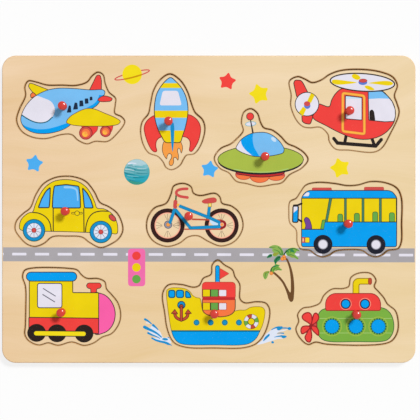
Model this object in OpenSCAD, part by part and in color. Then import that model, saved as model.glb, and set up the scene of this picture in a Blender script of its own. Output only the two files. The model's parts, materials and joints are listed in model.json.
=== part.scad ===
// Wooden peg puzzle: a printed sheet with ten lift-out figures, glued on a plain backing sheet.
// Millimetres, +Z up. The origin is the middle of the board's underside, and +Y is the top of the picture.

/* [Board] */
// Length of the board, left to right
board_w = 300; // [240:1:360]
// Depth of the board, bottom of the picture to top
board_d = 223; // [178:1:270]
// Radius of the board's corners, seen from above
corner_r = 10; // [3:0.5:18]
// Rounding of the board's sanded outer edges
edge_r = 0.8; // [0.2:0.1:1.6]
// Thickness of the plain backing sheet
backing_t = 3; // [2:0.5:8]
// Thickness of the printed sheet, and so of the figures cut from it
panel_t = 5; // [3:0.5:10]
// Width of the saw cut between a figure and its recess
kerf = 0.5; // [0.3:0.1:1.6]

/* [Pegs] */
// Height of a peg above its figure
peg_h = 10.5; // [8:0.5:18]
// Diameter of the head
head_d = 6.2; // [5.4:0.1:9]
// Rounding of the head's rim
rim_r = 1.1; // [0.5:0.1:1.3]
// Radius of the crown on top of the head
crown_r = 6; // [5:0.5:20]
// Diameter of the neck at its waist
waist_d = 4; // [3:0.1:5]
// Radius of the hollow that waists the neck
neck_r = 12; // [9:0.5:30]
// Diameter of the collar that seats on the figure
collar_d = 5.6; // [5:0.1:8]
// Thickness of the collar
collar_t = 1; // [0.6:0.1:1.6]
// Diameter of the shank inside the figure
shank_d = 3.6; // [2.4:0.1:4.6]
// Room round the shank in its hole
shank_clearance = 0.05; // [0.02:0.01:0.2]
// How far the shank stops short of the figure's underside
shank_short = 0.6; // [0.2:0.1:1.5]
// Lead-in chamfer at the end of the shank
shank_lead = 0.5; // [0.2:0.1:0.9]

/* [Places of the pegs, from the middle of the board as drawn] */
// Plane, to the right
plane_x = -105.5; // [-108:0.5:-103]
// Plane, up the picture
plane_y = 74.5; // [72:0.5:77]
// Rocket, to the right
rocket_x = -29; // [-32:0.5:-26]
// Rocket, up the picture
rocket_y = 63.5; // [61:0.5:66]
// Saucer, to the right
saucer_x = 40.5; // [38:0.5:43]
// Saucer, up the picture
saucer_y = 38; // [36:0.5:41]
// Helicopter, to the right
helicopter_x = 101.5; // [99:0.5:104]
// Helicopter, up the picture
helicopter_y = 71; // [69:0.5:73]
// Car, to the right
car_x = -103.5; // [-106:0.5:-101]
// Car, up the picture
car_y = -1.5; // [-4:0.5:2]
// Bicycle, to the right
bicycle_x = -14.5; // [-17:0.5:-12]
// Bicycle, up the picture
bicycle_y = -5; // [-7:0.5:-3]
// Bus, to the right
bus_x = 100.5; // [98:0.5:103]
// Bus, up the picture
bus_y = -10.5; // [-13:0.5:-8]
// Train, to the right
train_x = -106.5; // [-110:0.5:-103]
// Train, up the picture
train_y = -74.5; // [-77:0.5:-72]
// Ship, to the right
ship_x = 4; // [1:0.5:7]
// Ship, up the picture
ship_y = -75.5; // [-78:0.5:-73.5]
// Submarine, to the right
submarine_x = 106.5; // [104:0.5:109]
// Submarine, up the picture
submarine_y = -76; // [-78:0.5:-73.5]

/* [Hidden] */
$fn = 64;

// Height of the printed face
face_z = backing_t + panel_t;

// Width and depth of the board that the pegs' places and the cut lines are drawn on
drawn_board = [300, 223];

// How the places spread with the board, and how far the figures grow with it
spread = [board_w / drawn_board.x, board_d / drawn_board.y];
figure_scale = min(spread);

// Straight steps in each span of a cut line
span_steps = 6;

// How far a cutting tool runs past a face
overrun = 1;

// Circle of the head's rim: its distance from the axis and its height above the figure
rim_x = head_d / 2 - rim_r;
rim_z = peg_h - crown_r + sqrt((crown_r - rim_r) ^ 2 - rim_x ^ 2);

// Neck of a peg, between collar and head
neck_l = rim_z - rim_r - collar_t;

// Each cut line is a smooth closed curve through the turning points of its figure's margin,
// anticlockwise from the right-hand end and measured from the peg.

// Wing tip, tail notch, tail fin, back, far wing, nose, belly, engine pods
plane_line = [
  [44.5, -11], [42, -7.3], [37.3, -4.8], [37.5, 1], [37.8, 6], [33, 10.5], [30.2, 17], [28.8, 23], [25, 25],
  [21, 22.5], [17, 17.8], [9, 15.4], [-1, 15.6], [-12, 15.7], [-20, 17.9], [-25.5, 18.6], [-28, 14.5],
  [-27.5, 8], [-32, -2], [-34, -10], [-30.5, -17.6], [-23, -22], [-13, -23.2], [-1, -20.2], [6, -20.3],
  [10.5, -24.3], [17, -27], [23, -25.2], [32, -25.2], [38, -20.5]
];

// Right fin, shoulder, nose cone, left fin, flame
rocket_line = [
  [26.2, -5], [24.5, 1.5], [19, 7], [16.5, 13], [13.5, 22], [8.5, 30], [1, 34.8], [-5.5, 31.3], [-11, 23],
  [-13.3, 13], [-14.8, 6], [-19.3, 0], [-20.5, -7], [-18.5, -16.5], [-14.5, -22.5], [-8, -25],
  [-4.3, -28.8], [-2, -33], [2, -34.7], [8, -31.6], [10.7, -27], [12.8, -24.2], [18.5, -23], [23.3, -16.5]
];

// Disc, dome, aerial, disc, base
saucer_line = [
  [31.5, -2], [29, 2.7], [22.5, 7.2], [16.5, 9.8], [11.5, 15.1], [5.5, 19.5], [-0.5, 21.2], [-3, 25.3],
  [-5.3, 31.8], [-10, 35], [-15, 32.5], [-16.8, 25], [-15.5, 19], [-20, 13.4], [-24.5, 9.5], [-32, 6],
  [-36.5, -1], [-32.5, -8.1], [-26, -11.5], [-20.5, -17.6], [-13, -19.3], [-4, -21.4], [6, -20],
  [12.5, -18.7], [18, -13], [27, -8]
];

// Cockpit, rotor, tail fin, tail rotor, boom, skids
helicopter_line = [
  [36.6, -1], [35, 6], [33.2, 11.5], [35.3, 19], [32, 25], [22, 29], [8, 30.6], [-6, 29.7], [-14, 26.8],
  [-20, 22.8], [-26.5, 21], [-31.5, 23.4], [-37, 25.3], [-43, 22], [-41.7, 12], [-42, 4], [-37.7, -6.5],
  [-33, -11], [-28, -11.8], [-20.5, -11.5], [-15, -16.6], [-14, -21.8], [-9.5, -27.2], [0, -28],
  [18, -29.5], [24, -26.5], [30, -16.5]
];

// Front wing, bonnet, roof, rear wing, rear wheel, sill, front wheel
car_line = [
  [41.2, -13], [37.5, -2], [31, 3.3], [24.5, 6.5], [20.5, 14], [14.5, 21.5], [7.5, 24.6], [0, 25.5],
  [-8.5, 24.3], [-16.5, 19.9], [-22, 12], [-26, 2.5], [-31, -1.5], [-36, -7], [-37, -13], [-33, -19.5],
  [-28, -24], [-22.5, -25.5], [-16, -23.2], [-10, -18.5], [0, -18], [11.5, -18.7], [17, -22.6],
  [25, -26.3], [33, -23.5], [38.5, -19.4]
];

// Rear wheel, saddle, handlebar, front wheel, pedals
bicycle_line = [
  [39.3, -6], [36.7, 2.3], [31, 7.3], [24, 9.5], [22.4, 14], [19, 16.6], [8, 15], [3.3, 16.8],
  [1.5, 21.4], [-4, 23.8], [-11, 21.9], [-13, 16], [-16.5, 9.4], [-25, 6], [-30, -1.5], [-30.2, -11],
  [-25.5, -18.2], [-16, -21.9], [-7, -19.6], [-0.5, -15], [6.5, -14.2], [14, -18.2], [23, -21.6],
  [32, -19], [37.4, -13]
];

// Tail, roof hatches, mirror, nose, wheels
bus_line = [
  [39.5, 0], [39.3, 19], [36, 25.9], [28, 29.7], [17, 30.6], [8, 28.2], [0, 27.7], [-9, 29.2],
  [-22, 30], [-30, 28], [-34.2, 22.5], [-37, 18.5], [-41.5, 16], [-42.3, 8], [-41.5, 0.6], [-37, -4.4],
  [-36.2, -14], [-33.5, -18.3], [-27, -19.3], [-22.8, -22.4], [-18, -24], [-13, -22.6], [-8.5, -19.8],
  [1, -18.7], [11, -19.4], [15.6, -22.5], [20.5, -24], [25.4, -22.5], [29.5, -19.4], [37, -17.9], [39.3, -13]
];

// Round nose, funnel, roof, cab, wheels
train_line = [
  [42.5, -2], [40.5, 6.5], [36, 12.5], [32.2, 16.8], [31, 21.8], [26, 24.2], [18, 24.4], [14.2, 26.8],
  [11, 30.4], [5, 31.6], [-22, 31.8], [-27.3, 30], [-28.7, 25.5], [-26.6, 18.5], [-26.4, 2], [-26.7, -10],
  [-27, -16.5], [-24, -21], [-17, -24], [-10, -22.4], [-3, -24.2], [7, -21.8], [16, -24.3],
  [23, -22.4], [29, -18.3], [36, -15.6], [41, -9]
];

// Stern, cabin, flag, mast, bridge, bow, keel
ship_line = [
  [40.2, 2], [37.5, 7.2], [31, 8.4], [22, 7.6], [18.6, 10.5], [18.4, 21], [14.9, 26.6], [13.2, 31.4],
  [7.5, 35], [2.5, 38.6], [-1.5, 35.3], [-2.4, 28.3], [-8, 25.4], [-11, 20.2], [-15, 18.9], [-24, 20.9],
  [-33.5, 20.5], [-37.5, 14.5], [-36, 0], [-34, -12], [-29.5, -21], [-21, -24.6], [0, -25.2],
  [22, -24.9], [31, -21.5], [37, -13.5]
];

// Bow, tower, periscope, tower, propeller, keel
submarine_line = [
  [31, -7], [29, 2], [23, 7.3], [20.4, 11.8], [16.5, 16.3], [13.6, 19.8], [14.8, 24.5], [11, 29.3],
  [2, 29.5], [-3.5, 26.2], [-5, 20], [-9, 18.4], [-17, 18], [-23, 13.4], [-26, 7.8], [-32, 5.2],
  [-38.5, 4], [-42, -0.5], [-41.3, -5.5], [-43.3, -11], [-40, -18], [-34.5, -22.2], [-29, -20.5],
  [-21, -22], [19, -22], [26.5, -19.3], [30.2, -13.5]
];

// A figure is the place of its peg and its cut line, both fitted to the board
function fitted(x, y, line) = [[x * spread.x, y * spread.y], line * figure_scale];

plane = fitted(plane_x, plane_y, plane_line);
rocket = fitted(rocket_x, rocket_y, rocket_line);
saucer = fitted(saucer_x, saucer_y, saucer_line);
helicopter = fitted(helicopter_x, helicopter_y, helicopter_line);
car = fitted(car_x, car_y, car_line);
bicycle = fitted(bicycle_x, bicycle_y, bicycle_line);
bus = fitted(bus_x, bus_y, bus_line);
train = fitted(train_x, train_y, train_line);
ship = fitted(ship_x, ship_y, ship_line);
submarine = fitted(submarine_x, submarine_y, submarine_line);

figures = [plane, rocket, saucer, helicopter, car, bicycle, bus, train, ship, submarine];

// Spacing of two neighbouring points on a centripetal curve
function spacing(a, b) = sqrt(norm(b - a));

// Point between two neighbours at times s and e, at time t
function between(a, b, s, e, t) = (a * (e - t) + b * (t - s)) / (e - s);

// Point on the curve from b to c, a share u of the way, with neighbours a and d
function curve_point(a, b, c, d, u) =
  let (tb = spacing(a, b))
  let (tc = tb + spacing(b, c))
  let (td = tc + spacing(c, d))
  let (t = tb + u * (tc - tb))
  let (ab = between(a, b, 0, tb, t))
  let (bc = between(b, c, tb, tc, t))
  let (cd = between(c, d, tc, td, t))
  between(between(ab, bc, 0, tc, t), between(bc, cd, tb, td, t), tb, tc, t);

// Item of a closed list, counted round and round
function around(list, i) = list[(i + len(list)) % len(list)];

// Smooth closed curve through a list of points
function smooth(p) = [
  for (i = [0 : len(p) - 1])
    for (k = [0 : span_steps - 1])
      curve_point(around(p, i - 1), p[i], around(p, i + 1), around(p, i + 2), k / span_steps)
];

// Direction along a closed outline at one of its points
function along(p, i) =
  let (chord = around(p, i + 1) - around(p, i - 1))
  chord / norm(chord);

// Outline moved outwards by a distance, for an anticlockwise outline
function grown(p, distance) = [
  for (i = [0 : len(p) - 1])
    let (run = along(p, i))
    p[i] + distance * [run.y, -run.x]
];

// Half of a plate's section with its upper outer edge rounded, from the middle to its reach
module edge_section(reach, thickness) {
  square([reach, thickness - edge_r]);
  square([reach - edge_r, thickness]);
  translate([reach - edge_r, thickness - edge_r])
    circle(r = edge_r);
}

// Board-sized plate with round corners and a rounded upper edge, standing on z = 0
module eased_plate(thickness) {
  straight_w = board_w - 2 * corner_r;
  straight_d = board_d - 2 * corner_r;
  // Middle of the plate, from edge to edge up the picture
  rotate([90, 0, 90])
    linear_extrude(straight_w, center = true)
      for (side = [0, 1])
        mirror([side, 0])
          edge_section(board_d / 2, thickness);
  for (turn = [0, 180])
    rotate(turn) {
      // Left and right ends
      translate([straight_w / 2, 0, 0])
        rotate([90, 0, 0])
          linear_extrude(straight_d, center = true)
            edge_section(corner_r, thickness);
      // Corners
      translate([straight_w / 2, straight_d / 2, 0])
        rotate_extrude(angle = 90)
          edge_section(corner_r, thickness);
      translate([straight_w / 2, -straight_d / 2, 0])
        rotate(-90)
          rotate_extrude(angle = 90)
            edge_section(corner_r, thickness);
    }
}

// Opening that a figure drops into
module recess(figure) {
  translate([figure[0].x, figure[0].y, backing_t - overrun])
    linear_extrude(panel_t + 2 * overrun)
      polygon(grown(smooth(figure[1]), kerf / 2));
}

// One figure cut from the sheet, with the hole for its peg
module figure_piece(figure) {
  translate([figure[0].x, figure[0].y, backing_t])
    difference() {
      linear_extrude(panel_t)
        polygon(grown(smooth(figure[1]), -kerf / 2));
      translate([0, 0, -overrun])
        cylinder(d = shank_d + 2 * shank_clearance, h = panel_t + 2 * overrun);
    }
}

// Head of a peg in half section: a round rim under a crown that runs into it smoothly
module head_section() {
  meet_x = rim_x * crown_r / (crown_r - rim_r);
  translate([rim_x, rim_z])
    circle(r = rim_r);
  translate([0, rim_z - rim_r])
    square([rim_x, rim_r]);
  intersection() {
    translate([0, peg_h - crown_r])
      circle(r = crown_r);
    translate([0, rim_z])
      square([meet_x, crown_r]);
  }
}

// Collar of a peg in half section, with a round outer edge
module collar_section() {
  flat_x = (collar_d - collar_t) / 2;
  square([flat_x, collar_t]);
  translate([flat_x, collar_t / 2])
    circle(d = collar_t);
}

// Neck of a peg in half section, hollowed to its waist
module neck_section() {
  difference() {
    translate([0, collar_t / 2])
      square([(waist_d + collar_d) / 4, neck_l + collar_t / 2 + rim_r]);
    translate([waist_d / 2 + neck_r, collar_t + neck_l / 2])
      circle(r = neck_r);
  }
}

// Shank of a peg in half section, with a lead-in at its end
module shank_section() {
  end_z = shank_short - panel_t;
  polygon([
    [0, end_z], [shank_d / 2 - shank_lead, end_z], [shank_d / 2, end_z + shank_lead],
    [shank_d / 2, collar_t / 2], [0, collar_t / 2]
  ]);
}

// Turned peg, seated on the printed face with its shank in the figure
module figure_peg(figure) {
  color("red")
    translate([figure[0].x, figure[0].y, face_z])
      rotate_extrude() {
        head_section();
        neck_section();
        collar_section();
        shank_section();
      }
}

module backing_board() {
  color("burlywood")
    translate([0, 0, backing_t])
      mirror([0, 0, 1])
        eased_plate(backing_t);
}

module frame_panel() {
  color("wheat")
    difference() {
      translate([0, 0, backing_t])
        eased_plate(panel_t);
      for (figure = figures)
        recess(figure);
    }
}

module plane_piece() {
  color("cornflowerblue")
    figure_piece(plane);
}

module plane_peg() {
  figure_peg(plane);
}

module rocket_piece() {
  color("lightskyblue")
    figure_piece(rocket);
}

module rocket_peg() {
  figure_peg(rocket);
}

module saucer_piece() {
  color("yellowgreen")
    figure_piece(saucer);
}

module saucer_peg() {
  figure_peg(saucer);
}

module helicopter_piece() {
  color("tomato")
    figure_piece(helicopter);
}

module helicopter_peg() {
  figure_peg(helicopter);
}

module car_piece() {
  color("gold")
    figure_piece(car);
}

module car_peg() {
  figure_peg(car);
}

module bicycle_piece() {
  color("moccasin")
    figure_piece(bicycle);
}

module bicycle_peg() {
  figure_peg(bicycle);
}

module bus_piece() {
  color("dodgerblue")
    figure_piece(bus);
}

module bus_peg() {
  figure_peg(bus);
}

module train_piece() {
  color("yellow")
    figure_piece(train);
}

module train_peg() {
  figure_peg(train);
}

module ship_piece() {
  color("khaki")
    figure_piece(ship);
}

module ship_peg() {
  figure_peg(ship);
}

module submarine_piece() {
  color("olivedrab")
    figure_piece(submarine);
}

module submarine_peg() {
  figure_peg(submarine);
}

backing_board();
frame_panel();
plane_piece();
plane_peg();
rocket_piece();
rocket_peg();
saucer_piece();
saucer_peg();
helicopter_piece();
helicopter_peg();
car_piece();
car_peg();
bicycle_piece();
bicycle_peg();
bus_piece();
bus_peg();
train_piece();
train_peg();
ship_piece();
ship_peg();
submarine_piece();
submarine_peg();
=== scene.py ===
# %% [markdown]
# # A wooden peg puzzle
#
# The real thing is one thin printed sheet, sawn into ten figures, on a plain backing sheet. Each figure
# has a red peg to lift it by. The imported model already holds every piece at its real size, so this lesson
# only gives the pieces their finish: the print on the wood, the browned saw cuts and the glossy pegs.

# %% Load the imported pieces
import json
import math

import bmesh
import bpy
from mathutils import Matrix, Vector
from mathutils.geometry import delaunay_2d_cdt

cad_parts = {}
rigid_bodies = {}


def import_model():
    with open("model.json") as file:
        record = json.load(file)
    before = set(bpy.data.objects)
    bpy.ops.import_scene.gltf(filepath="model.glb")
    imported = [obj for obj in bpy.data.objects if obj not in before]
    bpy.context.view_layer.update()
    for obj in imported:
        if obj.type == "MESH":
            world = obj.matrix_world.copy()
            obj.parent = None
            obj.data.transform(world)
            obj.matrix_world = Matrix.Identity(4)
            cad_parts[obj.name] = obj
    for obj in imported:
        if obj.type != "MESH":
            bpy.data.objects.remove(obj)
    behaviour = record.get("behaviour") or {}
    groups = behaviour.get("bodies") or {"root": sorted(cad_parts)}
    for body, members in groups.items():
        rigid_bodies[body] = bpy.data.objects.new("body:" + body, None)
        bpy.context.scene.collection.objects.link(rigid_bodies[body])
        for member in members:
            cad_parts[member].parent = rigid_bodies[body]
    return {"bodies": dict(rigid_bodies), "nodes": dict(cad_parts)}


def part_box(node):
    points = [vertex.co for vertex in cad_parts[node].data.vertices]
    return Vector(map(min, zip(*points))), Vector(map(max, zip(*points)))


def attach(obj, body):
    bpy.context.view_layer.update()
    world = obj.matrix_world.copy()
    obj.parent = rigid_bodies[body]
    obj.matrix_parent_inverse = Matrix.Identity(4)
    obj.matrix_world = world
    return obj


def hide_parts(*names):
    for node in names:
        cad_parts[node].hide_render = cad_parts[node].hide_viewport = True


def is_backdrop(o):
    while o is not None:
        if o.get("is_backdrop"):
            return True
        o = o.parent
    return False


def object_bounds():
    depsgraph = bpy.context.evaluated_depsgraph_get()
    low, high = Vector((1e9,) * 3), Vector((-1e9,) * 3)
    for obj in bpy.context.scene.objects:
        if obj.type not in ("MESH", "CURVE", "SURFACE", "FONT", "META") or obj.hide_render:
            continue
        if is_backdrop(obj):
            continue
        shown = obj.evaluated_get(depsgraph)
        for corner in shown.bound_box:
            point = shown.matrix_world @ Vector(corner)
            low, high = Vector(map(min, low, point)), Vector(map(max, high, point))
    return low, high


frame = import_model()
cad_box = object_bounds()
MM = 0.001
FIGURES = [name for name in frame["bodies"] if name != "board"]
print("figures:", ", ".join(FIGURES))

# %% [markdown]
# ## Where things are
#
# Nothing is placed by hand. The height of the printed face, the axis of each peg and the outline of each
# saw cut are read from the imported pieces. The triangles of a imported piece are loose, so a copy is merged
# before its edges are followed. An edge that only one triangle of the flat face uses is on its outline.

# %% Read places and outlines from the pieces
SAME_POINT = 0.001 * MM
SAME_LEVEL = 0.01 * MM


def area(points):
    """Area inside an outline, positive if it runs anticlockwise."""
    total = 0.0
    for (ax, ay), (bx, by) in zip(points, points[1:] + points[:1]):
        total += ax * by - bx * ay
    return total / 2


def follow(following):
    """Closed loops in a table that gives the next point after each point."""
    loops = []
    while following:
        start = next(iter(following))
        loop = [start]
        step = following.pop(start)
        while step != start:
            loop.append(step)
            step = following.pop(step)
        loops.append(loop)
    return loops


def face_outlines(node, height):
    """Outlines of a piece's flat upward face, in mm, with the largest first."""
    bm = bmesh.new()
    bm.from_mesh(frame["nodes"][node].data)
    bmesh.ops.remove_doubles(bm, verts=bm.verts, dist=SAME_POINT)
    edges = []
    for face in bm.faces:
        if all(abs(v.co.z - height) < SAME_LEVEL for v in face.verts):
            edges.extend((loop.vert, loop.link_loop_next.vert) for loop in face.loops)
    both_ways = set(edges)
    outer = {a: b for a, b in edges if (b, a) not in both_ways}
    loops = [[(v.co.x / MM, v.co.y / MM) for v in loop] for loop in follow(outer)]
    bm.free()
    return sorted(loops, key=lambda points: -abs(area(points)))


def middle(node):
    """Middle of a piece seen from above, in mm."""
    low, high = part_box(node)
    return (low.x + high.x) / 2 / MM, (low.y + high.y) / 2 / MM


back_low, back_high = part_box("backing_board")
panel_low, panel_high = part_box("frame_panel")
FACE_Z = panel_high.z
SEAT_Z = panel_low.z
PEG_AT = {name: middle(name + "_peg") for name in FIGURES}
print("printed face at %.1f mm, recess floor at %.1f mm" % (FACE_Z / MM, SEAT_Z / MM))
for name, (x, y) in PEG_AT.items():
    print("%-10s peg at %6.1f, %6.1f" % (name, x, y))

# %% [markdown]
# ## Inks
#
# The sheet is printed with bright opaque inks. Each has a name here, with its colour as a paint chart
# gives it, in steps of 0 to 255. Blender computes with linear light, so the colours are converted once.
# A thin ink covers only a share of the wood: none of it for bare wood, about half for scorch.

# %% Ink chart
INKS = {
    "bare": (255, 255, 255), "scorch": (126, 84, 42), "outline": (46, 38, 36), "black": (38, 30, 28),
    "soot": (50, 28, 26), "tyre": (28, 29, 42), "slate": (104, 104, 118), "white": (228, 225, 237),
    "silver": (160, 158, 170), "grey": (169, 165, 169), "road_gap_shade": (70, 66, 74), "sky": (119, 189, 241),
    "pale_blue": (198, 223, 244), "gleam": (150, 205, 247), "spray": (222, 229, 245),
    "blue": (0, 158, 238), "sea_blue": (22, 142, 202), "window_blue": (76, 174, 241),
    "iris": (92, 124, 208), "navy": (26, 42, 66), "mist": (176, 208, 216), "foam": (128, 190, 200),
    "teal": (88, 168, 178), "deep_teal": (34, 124, 138), "dark_teal": (10, 92, 112),
    "sea_green": (58, 150, 134), "sage": (72, 126, 96), "lagoon": (44, 162, 180),
    "yellow": (235, 208, 12), "lemon": (242, 220, 26), "straw": (244, 220, 110),
    "amber": (251, 184, 68), "ochre": (204, 146, 10), "mustard": (158, 128, 26),
    "orange": (244, 120, 68), "flame": (245, 158, 72), "red": (238, 67, 62),
    "deep_red": (192, 44, 46), "wine": (150, 34, 38), "rust": (188, 76, 52), "brick": (208, 78, 76),
    "rim_pink": (246, 186, 156), "pink": (248, 96, 168), "rose": (240, 110, 172),
    "lime": (167, 186, 72), "green": (122, 174, 66), "seat_green": (102, 167, 74),
    "pale_green": (172, 206, 124), "pine": (22, 84, 50), "leaf": (46, 128, 80),
    "moss": (138, 176, 84), "fern": (84, 138, 62), "olive": (150, 158, 60), "purple": (112, 70, 150),
    "bark": (108, 74, 42),
}
# The road's dark grey band beside the cuts is painted shade for the shadowed gap, not an ink.
THIN_INKS = {"bare": 0.0, "scorch": 0.54, "road_gap_shade": 0.9}


def linear(step):
    """Linear light of one colour step from 0 to 255."""
    share = step / 255
    return share / 12.92 if share <= 0.04045 else ((share + 0.055) / 1.055) ** 2.4


def linear_rgb(red, green, blue):
    return linear(red), linear(green), linear(blue)


INK_LIGHT = {name: linear_rgb(*ink) + (THIN_INKS.get(name, 1.0),) for name, ink in INKS.items()}
print(len(INKS), "inks")

# %% [markdown]
# ## Shapes of the print
#
# A printed figure is a stack of flat shapes, much like cut paper. A handful of helpers draw them all: an
# ellipse, a straight-sided outline with round corners, a smooth curve through a few points, and a ribbon
# along a line for anything drawn with a pen. All are lists of points in mm.

# %% Shape helpers
CORNER_SHARE = 0.45
LEAST_GAP = 1e-6
SHARPEST = 0.5


def placed(points, x, y):
    """Points moved to a place."""
    return [(x + u, y + v) for u, v in points]


def around(x, y, r, angles):
    """Points round a middle, at angles in radians."""
    return [(x + r * math.cos(a), y + r * math.sin(a)) for a in angles]


def ellipse(x, y, across, up=None, turn=0.0, steps=36):
    """Ellipse round a middle, from its half width and half height, turned in degrees."""
    up = across if up is None else up
    c, s = math.cos(math.radians(turn)), math.sin(math.radians(turn))
    points = []
    for i in range(steps):
        angle = 2 * math.pi * i / steps
        u, v = across * math.cos(angle), up * math.sin(angle)
        points.append((x + u * c - v * s, y + u * s + v * c))
    return points


def rounded(corners, radius, steps=4):
    """Straight-sided outline whose corners are rounded as far as its sides allow."""
    points = []
    for i, (x, y) in enumerate(corners):
        ends = []
        for nx, ny in (corners[i - 1], corners[(i + 1) % len(corners)]):
            length = math.hypot(nx - x, ny - y)
            share = min(radius / length, CORNER_SHARE)
            ends.append((x + (nx - x) * share, y + (ny - y) * share))
        (ax, ay), (bx, by) = ends
        for k in range(steps + 1):
            t = k / steps
            keep, pull, go = (1 - t) ** 2, 2 * t * (1 - t), t * t
            points.append((keep * ax + pull * x + go * bx, keep * ay + pull * y + go * by))
    return points


def block(x0, y0, x1, y1, radius=0.0):
    """Upright rectangle, with round corners if a radius is given."""
    corners = [(x0, y0), (x1, y0), (x1, y1), (x0, y1)]
    return rounded(corners, radius) if radius else corners


def span_point(a, b, c, d, share):
    """Point a share of the way from b to c on a curve that also looks at a and d."""
    def gap(p, q):
        return max(math.dist(p, q), LEAST_GAP) ** 0.5

    def mix(p, q, s, e, t):
        return [(u * (e - t) + v * (t - s)) / (e - s) for u, v in zip(p, q)]

    tb = gap(a, b)
    tc = tb + gap(b, c)
    td = tc + gap(c, d)
    t = tb + share * (tc - tb)
    ab, bc, cd = mix(a, b, 0, tb, t), mix(b, c, tb, tc, t), mix(c, d, tc, td, t)
    return tuple(mix(mix(ab, bc, 0, tc, t), mix(bc, cd, tb, td, t), tb, tc, t))


def smooth(points, steps=5):
    """Smooth closed curve through a few points."""
    n = len(points)
    return [
        span_point(points[i - 1], points[i], points[(i + 1) % n], points[(i + 2) % n], k / steps)
        for i in range(n)
        for k in range(steps)
    ]


def bent(points, steps=6):
    """Smooth open line through a few points."""
    (ax, ay), (bx, by) = points[0], points[1]
    (yx, yy), (zx, zy) = points[-2], points[-1]
    run = [(2 * ax - bx, 2 * ay - by), *points, (2 * zx - yx, 2 * zy - yy)]
    line = []
    for i in range(1, len(run) - 2):
        line.extend(span_point(*run[i - 1:i + 3], k / steps) for k in range(steps))
    return line + [points[-1]]


def ribbon(points, width, end=None, cap_steps=8):
    """Outline of a pen line with round ends, of one width or tapering to another."""
    end = width if end is None else end
    left, right = [], []
    last = len(points) - 1
    for i, (x, y) in enumerate(points):
        r = (width + (end - width) * i / last) / 2
        (ax, ay), (bx, by) = points[max(i - 1, 0)], points[min(i + 1, last)]
        length = math.hypot(bx - ax, by - ay)
        ux, uy = (bx - ax) / length, (by - ay) / length
        left.append((x - uy * r, y + ux * r))
        right.append((x + uy * r, y - ux * r))
    caps = []
    for (x, y), (sx, sy) in ((points[-1], right[-1]), (points[0], left[0])):
        r = math.hypot(sx - x, sy - y)
        start = math.atan2(sy - y, sx - x)
        turns = [start + math.pi * k / cap_steps for k in range(1, cap_steps)]
        caps.append(around(x, y, r, turns))
    return right + caps[0] + left[::-1] + caps[1]


def star(x, y, reach, turn, waist=0.52, soft=0.28):
    """Five-pointed star with soft points, the first of them turned from straight up."""
    corners = []
    for i in range(10):
        angle = math.radians(90 + turn + 36 * i)
        r = reach if i % 2 == 0 else reach * waist
        corners.append((x + r * math.cos(angle), y + r * math.sin(angle)))
    return rounded(corners, reach * soft)


def turning(points):
    """The outline, turned round if it runs clockwise."""
    return points if area(points) > 0 else points[::-1]


def grown(points, distance):
    """Anticlockwise outline moved outwards by a distance, with its corners kept."""
    moved = []
    for i, (x, y) in enumerate(points):
        (ax, ay), (bx, by) = points[i - 1], points[(i + 1) % len(points)]
        before, after = math.hypot(x - ax, y - ay), math.hypot(bx - x, by - y)
        nx, ny = (y - ay) / before, (ax - x) / before
        mx, my = (by - y) / after, (x - bx) / after
        stretch = distance / max(1 + nx * mx + ny * my, SHARPEST)
        moved.append((x + (nx + mx) * stretch, y + (ny + my) * stretch))
    return moved


print("shape helpers ready")

# %% [markdown]
# ## Layers of ink
#
# A print keeps its shapes in order, the lowest first. Most of the figures are drawn with a thin dark line
# round each colour, so a shape with an outline is two layers: a dark one that is half a line larger, and
# the colour half a line smaller. A band on a rocket stops at the rocket's edge: such a layer names
# another one that it stays within.

# %% Print class
LINE = 0.5


class Print:
    """Layers of ink on a flat face, placed round an origin in mm."""

    def __init__(self, origin=(0.0, 0.0)):
        self.origin = origin
        self.line = LINE
        self.layers = []

    def fill(self, ink, points, within=None):
        """A plain shape. Gives the number of its layer."""
        self.layers.append((ink, turning(placed(points, *self.origin)), within))
        return len(self.layers) - 1

    def shape(self, ink, points, within=None, line=None, edge="outline"):
        """A shape with a darker edge. Gives the number of its coloured layer."""
        half = (self.line if line is None else line) / 2
        points = turning(points)
        self.fill(edge, grown(points, half), within)
        return self.fill(ink, grown(points, -half), within)

    def pen(self, ink, points, width, end=None, within=None):
        """A line drawn with a pen, or with a brush that lifts towards its end."""
        return self.fill(ink, ribbon(points, width, end), within)

    def pipe(self, ink, points, width, within=None, line=None, edge="outline"):
        """A broad line with a darker edge."""
        line = self.line if line is None else line
        self.pen(edge, points, width + line, within=within)
        return self.pen(ink, points, width - line, within=within)


def tell(*drawings):
    """Print how many layers of ink each drawing takes."""
    for draw in drawings:
        art = Print()
        draw(art)
        print("%s: %d layers of ink" % (draw.__name__, len(art.layers)))


# %% [markdown]
# ## The flying figures
#
# Each figure is drawn round its own peg, so its numbers are what a ruler on the real piece would read
# from the peg. Shapes come in the order a sign painter would use: what lies behind first.


# %% Plane
def draw_rings(art, x, y, rings):
    """Discs on one middle, from the largest to the smallest, each with its radius."""
    for ink, r in rings:
        art.fill(ink, ellipse(x, y, r))


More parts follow.
